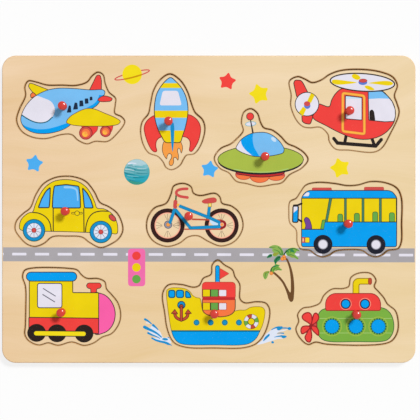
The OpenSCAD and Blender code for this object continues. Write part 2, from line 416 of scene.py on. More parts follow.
def draw_plane(art):
    far_wing = [(-25.4, 14.4), (-24.6, 17), (-22.4, 16.6), (-10.6, 12), (-20, 7.8), (-22, 10)]
    art.shape("yellow", rounded(far_wing, 1.2))
    art.shape("orange", rounded([(-22, 10.4), (-24, 8.7), (-23.4, 6), (-19.4, 8)], 1))
    fin = [(18.6, 11.4), (21.4, 17), (24.2, 22.8), (26.8, 22.8), (27.7, 19), (27.6, 11.4)]
    art.shape("red", rounded(fin, 1.4))
    body = art.shape("sky", smooth([
        (30.1, 10.8), (28.6, 12.1), (20, 12), (8, 13), (-4, 13.2), (-12, 11.7), (-20, 7.8), (-26, 2.2),
        (-30, -5), (-30.8, -10.5), (-28, -15.5), (-22, -18.8), (-14, -19.7), (-6, -18.6), (2, -15.6),
        (10, -9), (18, -3), (24, 0.6), (26.6, 4), (27.6, 7), (29.6, 8.4),
    ]))
    keel = bent([(-31.5, -11.6), (-27, -14.4), (-20, -16.3), (-12, -16.2), (-5, -14.6), (1, -12.6),
                 (6, -11.2)])
    art.fill("blue", keel + [(6, -22), (-32, -22)], within=body)
    tail = bent([(8, -7.6), (16.6, -1.2), (22.4, 2.2), (24.8, 5), (26, 8.4)])
    art.fill("blue", tail + [(30, 8), (28, 0), (16, -8)], within=body)
    art.fill("white", smooth([
        (-20, 7.7), (-14, 6), (-9, 3.6), (-6.6, 0), (-6.2, -3.6), (-8, -7.8), (-11.6, -10.8),
        (-16, -11.9), (-22, -11), (-30, -6), (-30, -2), (-25, 5),
    ]), within=body)
    sill = bent([(-31, -5.6), (-26, -8.9), (-21, -11.2), (-16, -11.9), (-11.6, -10.8), (-8, -7.8)])
    art.pen("dark_teal", sill, 0.8, within=body)
    for pane in (
        [(2.4, -4.5), (5.8, -4.3), (5.4, 0.6), (4.0, 0.8)],
        [(7.0, -2.3), (10.6, -2.0), (10.1, 2.7), (8.2, 2.9)],
        [(11.6, -0.1), (14.7, 0.3), (14.2, 4.4), (11.7, 4.3)],
        [(15.6, 1.9), (18.3, 2.2), (18, 5.9), (15.5, 5.8)],
        [(19, 4.3), (21.2, 4.6), (21, 7.2), (19.2, 7.1)],
    ):
        art.fill("navy", rounded(pane, 0.5))
    art.shape("red", smooth([
        (25, 4.8), (27.6, 7.2), (31, 7.6), (35.4, 5.7), (34.6, 4.1), (30.6, 3.5), (26.6, 3.7),
    ]))
    for x, y, r, cone in (
        (16.3, -19.2, 4.6, [(12.8, -14), (25.2, -14), (24.6, -17.4), (19, -23.2)]),
        (30.6, -18.1, 3.8, [(27.4, -14), (36.2, -13.2), (35.4, -17.2), (32.6, -21.2)]),
    ):
        art.shape("red", rounded(cone, 1.2), line=0.4, edge="wine")
        rings = (("wine", r + 0.3), ("brick", r - 0.3), ("rust", 0.74 * r), ("orange", 0.66 * r))
        draw_rings(art, x, y, rings)
        art.fill("amber", ellipse(x - 0.14 * r, y - 0.2 * r, 0.42 * r))
        art.fill("flame", ellipse(x, y, 0.24 * r))
    art.shape("yellow", smooth([
        (2.2, -11.4), (4.6, -7.6), (9, -4.7), (14, -2.3), (18, -1.4), (22.6, -1.9), (30, -4.9),
        (38, -8.3), (41.3, -10.8), (40, -12.7), (35, -13.9), (22, -14.3), (10, -13.9), (4.4, -12.8),
    ]), edge="bark")


tell(draw_plane)


# %% Rocket
def draw_rocket(art):
    art.line = 0.6
    art.shape("red", smooth([
        (-9.8, 4.4), (-14, 2.4), (-17, -1.2), (-17.9, -5), (-17, -10), (-15, -15.8), (-12.4, -20.4),
        (-10.2, -21.9), (-8.8, -21.4), (-9.4, -18), (-9.2, -14.8), (-7.6, -12.2), (-4, -10), (-4, 0),
    ]), edge="wine")
    art.shape("red", smooth([
        (13.4, 5), (18, 3.5), (21.5, 0), (23, -4.4), (22.7, -9), (21.4, -14), (18.8, -18.8),
        (16.4, -21.6), (15, -21), (15.4, -17.4), (15.2, -14), (13.2, -11.6), (9, -10), (9, 0),
    ]), edge="wine")
    art.shape("flame", smooth([
        (-3, -14), (-4.7, -18.6), (-4.3, -22.8), (-1.6, -27), (-1.1, -24.8), (0.2, -23.1), (1.9, -24.2),
        (1.8, -26.4), (0.2, -29.4), (0.8, -31.7), (2.4, -31.7), (3.6, -29), (3.4, -26.6), (5, -25.9),
        (6.6, -28), (7, -24.6), (6.3, -21), (7, -19.2), (8.2, -20.2), (9, -22.8), (10, -19.2),
        (9.4, -16.4), (8, -14),
    ], 3), line=0.4)
    body = art.shape("sky", smooth([
        (1.3, 32), (5, 29.3), (9, 24.8), (12, 19.2), (13.6, 13), (13.9, 8), (13.4, 2.6), (12, -4),
        (10, -10.2), (8.2, -14.8), (3, -15.1), (-2.4, -14.9), (-5.4, -10.5), (-8, -5), (-9.8, 1),
        (-10.5, 7), (-10.2, 13.4), (-8.8, 20), (-6, 25.2), (-2.4, 29.6),
    ]))
    for low, high in ((24.4, 28), (2.8, 8), (-16, -6.4)):
        art.fill("yellow", block(-15, low, 18, high), within=body)
    art.fill("white", rounded([(-6.8, 11.8), (9.4, 11.8), (6.6, 22.4), (-4.4, 22.4)], 1.8))
    blade = [(1.4, -2), (1.5, -12), (2, -18), (2.7, -21.8), (3.4, -18), (3.8, -12), (3.7, -2), (2.5, 0)]
    art.fill("sea_blue", smooth(blade))


tell(draw_rocket)


# %% Saucer
def draw_saucer(art):
    for x, y, across, up in ((-15.2, -12.8, 5.9, 3.7), (8.2, -13.4, 6.4, 3.8), (-3.6, -14.2, 7, 4.5)):
        lobe = art.shape("orange", ellipse(x, y, across, up), edge="rust")
        art.fill("brick", block(x - across, y - 0.6, x + across, y + up), within=lobe)
    art.shape("deep_red", smooth([
        (-21, -9), (-20.4, -11.8), (-13, -13.6), (-4, -14.7), (6, -14.1), (13.6, -12.2), (15, -9),
    ]))
    art.fill("tyre", ellipse(-3, -3, 31, 10))
    disc = art.shape("lime", ellipse(-2.9, -1.9, 31.1, 10))
    shine = bent([(-22, -9), (-12, -10.6), (-2, -11.1), (8, -10.6), (17, -8.7)])
    art.pen("pale_green", shine, 0.6, within=disc)
    dome = art.shape("sky", smooth([
        (-20.7, 6.2), (-19.6, 9), (-17, 12.5), (-13, 15.4), (-8.5, 17.2), (-3, 17.8), (1, 17.5), (5, 16),
        (9, 13.1), (12, 9.7), (14.1, 5.6), (13.4, 3), (9, 1.5), (4, 0.6), (-2, 0.1), (-8, 0.4),
        (-13, 1.8), (-18, 3.9),
    ]))
    deep = bent([(-8, 19), (-8.7, 13), (-7.6, 7), (-5.6, 3.4), (-3, -1)])
    art.fill("blue", deep + [(-24, -1), (-24, 19)], within=dome)
    pale = bent([(-17.6, 14), (-16.6, 9), (-14.2, 5.4), (-10.6, 2.2), (-6.6, -1)])
    art.fill("white", pale + [(-24, -1), (-24, 14)], within=dome)
    art.fill("pale_blue", ellipse(6.6, 12.6, 2.2, 1.3, -42))
    art.fill("foam", ellipse(-10.1, 23.9, 4.1, 1.8, 6))
    art.fill("white", ellipse(-10.1, 23.9, 3.5, 1.3, 6))
    art.pen("outline", [(-8.5, 17.4), (-10.3, 27)], 1.2, 0.7)
    art.shape("red", ellipse(-10.5, 29.3, 2.6))


tell(draw_saucer)


# %% Helicopter
def draw_helicopter(art):
    art.line = 0.6
    for width, run in (
        (2.3, [(-1.8, -17), (-2.9, -23)]), (2.3, [(16.2, -18), (18.6, -24.6)]),
        (2.5, [(-10.8, -19.7), (-8.2, -23)]),
        (2.6, [(-8.2, -23), (19.6, -25.2)]), (2.5, [(19.6, -25.2), (23.6, -20.5)]),
    ):
        art.pen("black", run, width)
    fin = [(-40, 20.6), (-39, 22.7), (-34.6, 22.5), (-32.8, 20), (-29.4, 13), (-37.6, 10)]
    art.shape("red", rounded(fin, 1.2))
    art.shape("red", rounded([(-34, -2.6), (-33.8, -7.4), (-31.6, -8.9), (-27.9, -9.4), (-25.6, -3)], 1.2))
    body = art.shape("red", smooth([
        (-22, 5.3), (-14.2, 3.4), (-12.4, 8.2), (-9.4, 13), (-4.6, 16.6), (4, 15.6), (14, 14.8),
        (24, 14.8), (28, 11.4), (31.6, 7), (33.6, 1.6), (33.8, -3.6), (32.7, -8), (29, -13.4),
        (24, -17.3), (17, -19.8), (9, -20.3), (2, -19), (-6, -15.8), (-16, -10.6), (-26, -4.6), (-25, -1),
        (-23, 3),
    ]))
    glass = art.shape("white", rounded([
        (14.1, 14.6), (24.4, 14.6), (28.4, 11), (31.6, 7), (33.7, 1.6), (33.9, -3.6), (32.8, -7.3),
        (26, -7.6), (14.5, -6.4),
    ], 0.8), within=body)
    art.fill("sky", [(12, 16), (12, 8.8), (22, 9.4), (34, 9), (34, 16)], within=glass)
    art.fill("black", rounded([(15, -6.5), (15, 0.2), (16.8, 1.6), (18.4, 0), (19.3, -6.8)], 1))
    door = turning(rounded([(-5.3, 14.4), (12.3, 12.2), (12.4, -17.6), (-5.4, -15.4)], 2.6))
    for ink, inset in (
        ("rust", -0.2), ("flame", 0.1), ("amber", 0.55), ("flame", 1.55), ("rust", 1.95), ("red", 2.2),
    ):
        art.fill(ink, grown(door, -inset))
    pane = art.shape("white", rounded([(-2.4, 11.4), (9.6, 10), (9.6, -6.4), (-2.4, -5.4)], 0.8))
    art.fill("pale_blue", block(-4, 9, 11, 13), within=pane)
    art.shape("white", ellipse(-30.3, 5.2, 8.6))
    art.fill("yellow", rounded([(-30.2, 7.4), (-27.4, 13.2), (-24.6, 11.7), (-27.4, 6)], 0.5))
    art.fill("yellow", rounded([(-33.1, 3.4), (-36.2, -0.8), (-33.2, -3.4), (-30.8, 1.6)], 0.5))
    art.fill("iris", ellipse(-30.1, 4.1, 2.3))
    art.fill("brick", ellipse(-30.2, 5.5, 2.3, 1.8))
    art.shape("white", ellipse(9.9, 21, 23.4, 6.4, -3.5, 48), line=0.9)
    for blade in (
        [(5.9, 20.9), (2.8, 20.2), (-1.6, 19.7), (-5.7, 19.35), (-9.1, 19.4), (-11.4, 20.2), (-12.4, 21.5),
         (-11.8, 22.7), (-9.9, 23), (-5.7, 22.7), (-1.6, 22.1), (2.8, 21.5)],
        [(14.4, 20.5), (17.8, 21.2), (21.4, 21.7), (25, 22), (28.6, 22), (31.4, 21.2), (32.2, 20.2),
         (31.4, 19.2), (28.6, 18.7), (25, 19), (20.8, 19.6), (16.6, 20.1)],
        [(2.2, 26), (3.4, 27), (6.4, 26.6), (8.6, 24.2), (6.6, 22.8), (4, 23.5), (2.3, 25)],
        [(11.5, 18.2), (13.8, 18.7), (17.2, 17.2), (18.7, 15.7), (15.4, 15.3), (12.3, 16.8)],
    ):
        art.fill("yellow", smooth(blade, 3))
    art.fill("iris", ellipse(10.2, 21, 3.2, 1.9))
    art.shape("brick", ellipse(10.4, 22.2, 2.9, 1.3), line=0.3, edge="wine")


tell(draw_helicopter)

# %% [markdown]
# ## The figures on the road
#
# Wheels repeat on the car, the bicycle, the bus and the train. They are rings from the outside in, like
# the rounds under the plane's wing, and a loop adds spokes.


# %% Spokes
def draw_spokes(art, x, y, near, far, count, ink, width, start=18.0, lean=0.0):
    """Spokes between two radii. A lean in degrees turns their outer ends, as in a laced wheel."""
    for i in range(count):
        foot = 2 * math.pi * i / count + math.radians(start + lean / 2)
        tip = foot + math.radians(lean)
        art.pen(ink, around(x, y, near, [foot]) + around(x, y, far, [tip]), width)


# %% Car
def draw_car(art):
    body = art.shape("yellow", smooth([
        (-24.4, -0.6), (-22.3, 5), (-19.6, 11), (-15.6, 17), (-10, 21.2), (-4, 22.8), (3, 22.8),
        (9, 21.3), (14.5, 17.6), (18.4, 12), (21, 6), (22.4, 2.4), (27, 1.8), (31, 0), (34.6, -3.5),
        (36.8, -8), (37.5, -13), (36.8, -16.2), (32, -16), (17, -15.4), (0, -14.8), (-14.5, -14.5),
        (-31, -14.1), (-33.6, -12.8), (-33.8, -10), (-32.5, -6), (-29.6, -2.8), (-26.8, -1.1),
    ]))
    for pane in (
        [(-20.2, 2.6), (-17.8, 9), (-14.8, 14.4), (-11.5, 17.4), (-11.7, 9), (-12.3, 2.6)],
        [(-10, 2.4), (-9.6, 11), (-8.6, 18.4), (0, 19.4), (9.2, 18.2), (10.2, 11), (10.4, 2.4)],
        [(13.3, 2.4), (12.6, 9), (11.9, 17), (15.4, 13), (18, 8), (19.7, 2.4)],
    ):
        art.shape("window_blue", rounded(pane, 1), line=0.8)
    art.pen("gleam", bent([(-1, 17.4), (4, 17.2), (7.4, 15.6), (8.2, 11.6), (8.4, 8)]), 1.6, 0.9)
    for line in (
        [(-9.4, 2), (-9.3, -14.6)], [(12.8, 2), (13, -15.2)],
        [(-24.2, -0.8), (-19.6, -1.5), (-15, -4), (-12, -8), (-10.7, -14.6)],
        [(14, -15.3), (14.6, -10), (16.6, -4.6), (20, -1.2), (25, 0.1), (30.6, 0)],
    ):
        art.pen("outline", bent(line), 0.75, within=body)
    art.shape("yellow", block(4, -2, 11.8, -0.8, 0.6), line=0.4)
    art.shape("yellow", ellipse(8, -1.4, 1.7), line=0.4)
    art.shape("brick", ellipse(33.6, -4.8, 3, 1.7, -42))
    for x, y in ((-23.3, -13.8), (25.2, -15)):
        draw_rings(art, x, y, (("pine", 8.2), ("sea_blue", 7.6), ("navy", 5.5), ("spray", 5.2)))
        draw_spokes(art, x, y, 1.4, 5, 10, "slate", 0.32)
        draw_rings(art, x, y, (("wine", 1.8), ("brick", 1.4)))


tell(draw_car)


# %% Bicycle
def draw_bicycle(art):
    front, rear = (-15.4, -6.8), (23.8, -6.8)
    for x, y in (front, rear):
        draw_rings(art, x, y, (("soot", 12.4), ("brick", 9.5), ("rim_pink", 9.35), ("bare", 8.5)))
        for lean in (-11, 0, 11):
            draw_spokes(art, x, y, 4, 8.4, 4, "outline", 0.2, 0, lean)
    for width, chain in ((1.2, [(2.6, -2.3), (23.6, -3)]), (1.0, [(-3, -9.5), (24, -9.5)])):
        art.pen("rust", chain, width)
    draw_rings(art, -15, -6.2, (("slate", 3), ("silver", 2.3), ("slate", 1.7), ("flame", 1.3)))
    art.fill("wine", ellipse(24.1, -6.1, 3.2))
    # Painted reflection: a pale blue wedge between the stays, where a glint lay.
    art.fill("pale_blue", [(15, -2.4), (21.6, -5.4), (21.6, -7), (17.6, -6.6), (15.4, -4.6)])
    for tube in (
        [(15, 7), (14, -1)], [(14.4, -0.9), (22, -4.4), (22.2, -7.2)], [(1, -8.6), (22.2, -7.7)],
        [(-6.4, 7.2), (14.4, -1)], [(-9.4, 4.4), (1, -8.4)], [(-10.2, 5.2), (-13.6, -4.6)],
    ):
        art.pipe("sea_blue", tube, 2.1, line=0.3, edge="deep_teal")
    draw_rings(art, 24.1, -6.1, (("rim_pink", 1.4), ("flame", 1)))
    art.pen("pine", [(-9.5, 10.8), (-9.2, 15)], 1.1)
    art.pipe("brick", [(-9.7, 10.4), (-9.9, 6.8)], 2.6, line=0.3, edge="rust")
    art.fill("amber", ellipse(-7.8, 8.1, 1))
    bar = [(-1.2, 19.8), (-5.6, 19.5), (-8.6, 18.2), (-9, 16.2), (-6.6, 14.5), (-1, 13.5)]
    art.pen("brick", bent(bar), 2)
    art.shape("straw", block(14.1, 6.8, 16.4, 9.7), line=0.4, edge="mustard")
    art.shape("brick", smooth([
        (9.6, 10.5), (11, 11.8), (15, 13), (18.8, 13.2), (20, 12), (19.7, 10.4), (16.8, 9.6), (11, 9.4),
    ]), line=0.4, edge="rust")


tell(draw_bicycle)


# %% Bus
def draw_bus(art):
    for x0, x1, high in ((-25.5, -11.5, 26), (12.3, 26.4, 26.5)):
        art.shape("brick", block(x0, 23, x1, high, 1), line=0.4, edge="rust")
    body = art.shape("blue", rounded([
        (-33.2, -16.7), (35.7, -16.8), (35.9, 19), (33, 22.9), (30, 24.1), (-28, 24.1), (-31, 22.4),
        (-33.2, 19),
    ], 1.6), line=0.6)
    art.fill("outline", block(-34, 0.9, 36, 18.8), within=body)
    art.fill("outline", [(-34, 2), (-34, -4.4), (-17.2, -4.4), (-16.1, 2)], within=body)
    art.fill("sage", [(-16.4, 1.3), (36, 1.3), (36, 18.4), (-13.3, 18.4)], within=body)
    panes = [
        [(-33, 18.3), (-13.1, 18.3), (-17.1, -3.9), (-33, -3.9)],
        [(-11.1, 18.3), (-2.2, 18.3), (-2.2, 1.4), (-14.4, 1.4)],
    ]
    panes += [block(x0, 1.4, x1, 18.3) for x0, x1 in ((-0.6, 10.5), (12.2, 23.1), (24.8, 35.4))]
    glass = [art.shape("yellow", pane, within=body, line=0.3) for pane in panes]
    for pane, x0, x1, high in ((1, -7, -3.4, 7), (2, 5, 8.8, 7.6), (3, 18.3, 22, 8.6), (4, 30.4, 34.2, 8)):
        art.shape("seat_green", block(x0, 0, x1, high, 1.6), within=glass[pane], line=0.4, edge="pine")
    seat = rounded([(-19.7, -5), (-16.6, -5), (-15.6, 2.8), (-18.2, 2.8)], 1)
    art.shape("seat_green", seat, within=glass[0], line=0.4, edge="pine")
    art.shape("purple", smooth([
        (-31.3, 3), (-30, 4.6), (-28, 3.8), (-26.5, 0.6), (-25.8, -3), (-26.4, -5), (-31, -5),
        (-30.2, -1.4),
    ]), within=glass[0], line=0.4)
    art.fill("white", rounded([(-32.2, 20), (-29.4, 22.8), (-27.4, 22.6), (-28, 20)], 0.9), within=body)
    for arm in ([(-38.8, 13.2), (-36, 13.4), (-33.2, 14.6)], [(-36.4, 3.6), (-33.2, 1.6)]):
        art.pen("black", arm, 1.4)
    back = [(-39.7, 1), (-35.9, 1), (-35.5, 12.8), (-39.4, 12.8)]
    mirror = art.shape("blue", rounded(back, 1.1), line=0.9)
    art.fill("white", [(-39.6, 13.2), (-36.3, 13.2), (-36.3, 10.2), (-39.6, 7.4)], within=mirror)
    art.shape("brick", block(-33.2, -13.6, -30.9, -10), within=body, line=0.4, edge="deep_red")
    art.fill("rim_pink", block(-32.6, -13, -31.4, -10.6), within=body)
    lamp = art.shape("lemon", block(-30.9, -13.8, -27.4, -9.9, 0.8), within=body, line=0.4)
    art.fill("amber", block(-30.9, -13.2, -29.9, -10.5), within=lamp)
    for x, y in ((-17.7, -15), (20.8, -15.2)):
        draw_rings(art, x, y, (("tyre", 6.9), ("slate", 3.7), ("silver", 3.5), ("white", 3)))


tell(draw_bus)


# %% Train
def draw_train(art):
    art.line = 0.62
    art.shape("red", rounded([
        (20.9, 12), (20.9, 16.8), (18.6, 17.2), (17.6, 19.2), (19, 21), (27.6, 21), (28.8, 19),
        (27.6, 17.2), (25.1, 16.8), (25.1, 12),
    ], 0.9), line=0.5)
    art.shape("pink", smooth([
        (24, 13.9), (27.6, 13.5), (31.6, 11.9), (35.2, 8.4), (37.8, 3.4), (38.6, -2), (37.4, -8),
        (34.2, -12.8), (30, -15.3), (24, -16),
    ]))
    cab = [(-23.7, -3), (-23.7, 23), (7.8, 23), (7.8, 14), (26.6, 13.9), (26.6, -5), (-23.7, -5)]
    art.shape("yellow", rounded(cab, 0.6))
    art.shape("red", rounded([(-24, -3.9), (26.6, -4.6), (26.6, -15.8), (-24, -13)], 0.7))
    art.pipe("blue", [(-22.6, 25.6), (7.5, 25.6)], 6.5)
    art.shape("white", block(-17.8, 3, 0, 20.7, 1.8))
    for run in ([(-13.5, 16.9), (-4.8, 11.5)], [(-13.9, 12.6), (-5.3, 7.3)]):
        art.pen("slate", run, 0.7)
    for x, y in ((-18.4, -15.2), (-3.6, -15.5), (16, -15.7)):
        art.fill("black", ellipse(x, y, 6.8, 6.5))
        draw_rings(art, x, y, (("soot", 4.6), ("black", 4.2)))
    art.pipe("lemon", [(-18.7, -15.5), (15.7, -15.9)], 3.7)


tell(draw_train)

# %% [markdown]
# ## The figures on the water
#
# Portholes, the lifebuoy's segments and the anchor's arms are loops and mirrored pairs.


# %% Ship
def draw_ship(art):
    art.pipe("blue", [(2.3, 20), (2.3, 33.2)], 2.9, line=0.6, edge="dark_teal")
    art.shape("red", rounded([(4.1, 32.6), (10.7, 28.8), (4.1, 24.8)], 0.5), line=0.4, edge="rust")
    hull = art.shape("yellow", smooth([
        (-34.7, 14), (-34.3, 16.8), (-32, 18.2), (-26, 18.5), (-21, 17.7), (-17.8, 15.8), (-15.6, 12.9),
        (-13, 11.4), (-10.4, 10.8), (-9.6, 8), (-8, 2), (2, 0.6), (14, 1.4), (18, 2.3), (22.6, 2.4),
        (26, 4.2), (30.4, 4.8), (35, 4.2), (36.6, 2), (36.3, -3), (35, -8.4), (33, -13), (30.4, -18),
        (26.4, -21.3), (21, -22.8), (0, -22.9), (-21, -22.6), (-26, -21.2), (-29.4, -17.4), (-31.2, -12),
        (-32.8, -3), (-34, 6),
    ]), line=0.5, edge="mustard")
    art.fill("dark_teal", block(-36, -24, 38, -12.3), within=hull - 1)
    art.fill("dark_teal", block(-36, -24, 38, -12.4), within=hull)
    art.fill("blue", block(-36, -24, 38, -13.3), within=hull)
    for pane in (
        block(-33.1, 11.4, -28.6, 16.7, 1.6), block(-27.5, 11.4, -22.3, 16.7, 1.6),
        rounded([(-20.8, 11.4), (-16.8, 11.4), (-18, 14.8), (-20.8, 16.5)], 1.2),
    ):
        art.shape("blue", pane, line=0.9, edge="dark_teal")
    draw_anchor(art, -23.9)
    for i in range(4):
        art.shape("sea_blue", ellipse(-12.9 + 10.25 * i, -6.7, 1.8), line=0.8, edge="deep_teal")
    art.shape("orange", rounded([
        (-8.7, 12), (-8.7, 1.2), (-4.5, -1.6), (3.5, -2.8), (11, -1.8), (15.2, 1.6), (15.2, 12),
    ], 3), line=0.7, edge="bark")
    art.shape("red", block(-8.8, 9.8, 15.3, 22.6, 3), edge="rust")
    art.fill("deep_red", block(-8.5, 9.6, 15, 11.7))
    for low, high in ((12.3, 17.1), (2.5, 7.5)):
        art.fill("outline", block(-8.6, low - 0.3, 3.2, high + 0.3))
        for ink, x0, x1 in (("yellow", -8.2, -3.2), ("seat_green", -2.4, 2.6)):
            art.fill(ink, block(x0, low, x1, high))
        art.shape("white", block(3.3, low, 8.8, high, 0.8), line=0.4, edge="rust")
    draw_lifebuoy(art, 26.8, -6)


def draw_anchor(art, x):
    """Anchor with its ring, shank, curved arms and two flukes, upright on a line."""
    art.shape("sea_blue", ellipse(x, 6, 2.7), line=0.6, edge="navy")
    art.shape("rust", ellipse(x, 5, 1.4), line=0.6, edge="soot")
    arms = [(x - 5, 0.6), (x - 3.9, -2.8), (x, -4.7), (x + 3.9, -2.8), (x + 5, 0.6)]
    art.pipe("rust", bent(arms), 1.9, line=0.4, edge="soot")
    art.pipe("rust", [(x, 4), (x, -5)], 1.9, line=0.4, edge="soot")
    for side in (-1, 1):
        fluke = [(x + side * 4.8, 2.9), (x + side * 7.4, -0.2), (x + side * 2.5, -0.5)]
        art.shape("rust", rounded(fluke, 0.3), line=0.4, edge="soot")


def draw_lifebuoy(art, x, y, outer=5.2, inner=2.4):
    """Ring of eight segments in turn."""
    art.fill("soot", ellipse(x, y, outer + 0.25))
    for i, ink in enumerate(("white", "rust", "white", "seat_green") * 2):
        edge = [math.radians(45 * i + 38 + 9 * k) for k in range(6)]
        art.fill(ink, around(x, y, outer, edge) + around(x, y, inner, reversed(edge)))
    draw_rings(art, x, y, (("outline", inner + 0.3), ("yellow", inner - 0.2)))


tell(draw_ship)


# %% Submarine
def draw_submarine(art):
    hull = art.shape("green", smooth([
        (-28, -8), (-27.4, -1.6), (-25.4, 2.2), (-21.6, 4), (-10, 4.4), (8, 4.4), (17, 4.8), (21.8, 3.6),
        (25.4, 0.2), (27.4, -5), (27.6, -11), (26, -15.6), (23, -18.8), (18, -20), (0, -20.1), (-19, -20),
        (-24.2, -18.4), (-27.2, -14.8),
    ]), line=0.5, edge="pine")
    for y in (-3.2, -13.8):
        art.pen("pale_green", [(-26, y), (26, y)], 0.4, within=hull)
    cone = [(-32.4, -7), (-28.5, -5.6), (-28.1, -8), (-28.5, -10), (-32.2, -9.8)]
    art.shape("brick", cone, line=0.6, edge="wine")
    for blade in (
        [(-32.2, -7.4), (-35.2, -5.8), (-38.1, -3.8), (-38.8, -1.8), (-37.3, 0.2), (-34, 1),
         (-32.2, -0.6), (-31.6, -3.8)],
        [(-31.8, -7.8), (-31.2, -3.4), (-30, 0.2), (-28.4, 0.6), (-26.8, -1.8), (-27, -3.8), (-28.8, -6.2)],
        [(-32, -8.9), (-28.8, -9.1), (-27, -11.9), (-27, -15.5), (-29.2, -13.9), (-31.8, -10.9)],
        [(-33.2, -10), (-35.6, -14.3), (-36.7, -17.1), (-35.2, -19.9), (-33.2, -20.3), (-32, -17.5),
         (-32, -13.9)],
        [(-33, -9.2), (-36.5, -8.7), (-38.9, -9.5), (-39.7, -11.9), (-38.9, -14.3), (-36.5, -13.5),
         (-33.4, -10.6)],
    ):
        art.shape("red", smooth(blade), line=0.85, edge="wine")
    art.fill("wine", ellipse(-32.7, -8.7, 1.3))
    bend = [math.radians(a) for a in range(90, 181, 15)]
    elbow = [(9.6, 25.8)] + around(2.2, 21.7, 4.1, bend) + [(-1.9, 12)]
    throat = [(2.4, 12)] + around(3.6, 20.5, 1.2, reversed(bend)) + [(9.6, 21.7)]
    art.shape("yellow", elbow + throat, line=0.7, edge="mustard")
    art.shape("rust", block(9.2, 21.4, 11.7, 26.1, 2), line=0.4, edge="wine")
    dome = [math.radians(a) for a in range(0, 91, 10)]
    tower = [(10.6 + 7.5 * math.cos(a), 7 + 7.9 * math.sin(a)) for a in dome]
    tower += [(-14.2 - 7.6 * math.cos(a), 7 + 7.9 * math.sin(a)) for a in reversed(dome)]
    art.shape("red", tower + [(-21.8, 3.4), (-21, 2.5), (17.3, 2.5), (18.1, 3.4)], line=0.6, edge="wine")
    for x in (-7.2, 6.8):
        draw_rings(art, x, 7.3, (("rim_pink", 4.2), ("red", 3.95), ("navy", 3.6), ("blue", 2.8)))
    for x in (-17.1, 0.2, 16.5):
        draw_porthole(art, x, -9)


def draw_porthole(art, x, y, glass=5.0, rivets=18):
    """Round window in a ring of rivets."""
    draw_rings(art, x, y, (("lime", glass + 2.1), ("green", glass + 1.6)))
    turns = [2 * math.pi * i / rivets for i in range(rivets)]
    for spot in around(x, y, glass + 0.5, turns):
        art.fill("pine", ellipse(*spot, 0.55, steps=10))
    draw_rings(art, x, y, (("dark_teal", glass + 0.3), ("blue", glass - 0.1)))


tell(draw_submarine)

# %% [markdown]
# ## The board's own print
#
# Round the figures the sheet shows stars and two planets for the sky, a road with a traffic light, a palm
# and two splashes for the sea. Their numbers are measured from the middle of the board.

# %% Sky
def draw_sky(art):
    for ink, x, y, reach, turn in (
        ("red", 13.4, 92.7, 7.2, -9), ("lemon", 36.6, 83.6, 8.4, 16), ("window_blue", 0.5, 28.9, 7.2, -9),
        ("lemon", 95.3, 29.9, 8.4, 16), ("window_blue", -126.6, 33.1, 7.3, -9),
    ):
        art.fill(ink, star(x, y, reach, turn))
    draw_ringed_planet(art, -55.6, 97.8)
    draw_cloudy_planet(art, -52.2, 27)


def draw_ringed_planet(art, x, y):
    """Yellow planet whose ring passes behind it and in front of it."""
    ring = ellipse(x, y - 0.4, 12.9, 1.8, 14.5, 48)
    half = len(ring) // 2
    art.pen("brick", ring[:half + 1], 0.8)
    ball = art.fill("lemon", ellipse(x, y, 7.1))
    front = ring[half:] + ring[:1]
    art.pen("brick", front, 0.8)
    art.pen("ochre", front, 1.1, within=ball)


def draw_cloudy_planet(art, x, y, r=9.2):
    """Teal planet, palest at its top, with thin streaks of cloud."""
    art.fill("sea_green", ellipse(x, y, r + 0.15))
    ball = art.fill("mist", ellipse(x, y, r))
    for ink, top in (("foam", 5.6), ("teal", 2.6), ("lagoon", -1.8), ("sea_green", -7)):
        wave = [(-r, 0.9), (-r / 2, 0.6), (0, -0.2), (r / 2, -0.4), (r, 0.2)]
        edge = bent(placed(wave, x, y + top))
        art.fill(ink, edge + [(x + r, y - r), (x - r, y - r)], within=ball)
    for ink, width, run in (
        ("spray", 1.1, [(-6.2, 6), (-3.6, 6.4), (-0.6, 6.2)]),
        ("mist", 1.0, [(-2.6, 5.2), (0.6, 5.2), (4, 4.6)]),
        ("slate", 0.4, [(-6.4, 5), (-4.6, 4.7), (-2.4, 4)]),
        ("teal", 0.7, [(-1.4, 4), (1.6, 3.6), (5.6, 3.6)]),
        ("deep_teal", 0.5, [(-7, 3.6), (-4.6, 3.2), (-1, 2)]),
        ("mist", 1.1, [(-8, 2), (-5.4, 1.8), (-2, 1)]),
        ("mist", 0.6, [(0.6, 2.6), (3.4, 2.3), (6.8, 2.4)]),
        ("deep_teal", 0.4, [(-2, 1.8), (1.6, 1.2), (6, 1.2)]),
        ("foam", 0.8, [(-8.6, 0.4), (-5.6, 0), (-2.4, -0.8)]), ("foam", 0.6, [(-1, 0.4), (2, 0.1), (7, 0)]),
        ("deep_teal", 0.8, [(-8.8, -0.6), (-6, -1.4), (-1.6, -2.2)]),
        ("deep_teal", 0.5, [(0, -0.8), (4, -1.2), (8.4, -1)]),
        ("foam", 0.6, [(-6.6, -2.6), (-3, -3), (1, -3.2)]),
        ("teal", 0.6, [(1.4, -2.2), (4.4, -2.4), (7.6, -2.2)]),
        ("deep_teal", 0.7, [(-2.4, -3.9), (1.4, -4.2), (5.4, -3.8)]),
        ("teal", 0.7, [(-7.4, -4), (-4.6, -4.8), (-1.4, -5.4)]),
        ("deep_teal", 0.6, [(-5.4, -5.8), (-2.4, -6.5), (2.4, -6.6)]),
    ):
        art.pen(ink, bent(placed(run, x, y)), width, 0.5 * width, within=ball)


tell(draw_sky)

# %% Road, traffic light and palm
ROAD_HALF, ROAD_LOW, ROAD_HIGH, ROAD_FALL = 160, -38.18, -28.03, 0.0026
DASH_COUNT, DASH_START, DASH_PITCH, DASH_LONG = 19, -159.1, 16.5, 10.3
DASH_MID, DASH_HALF, DASH_ROUND = -32.92, 0.95, 0.4


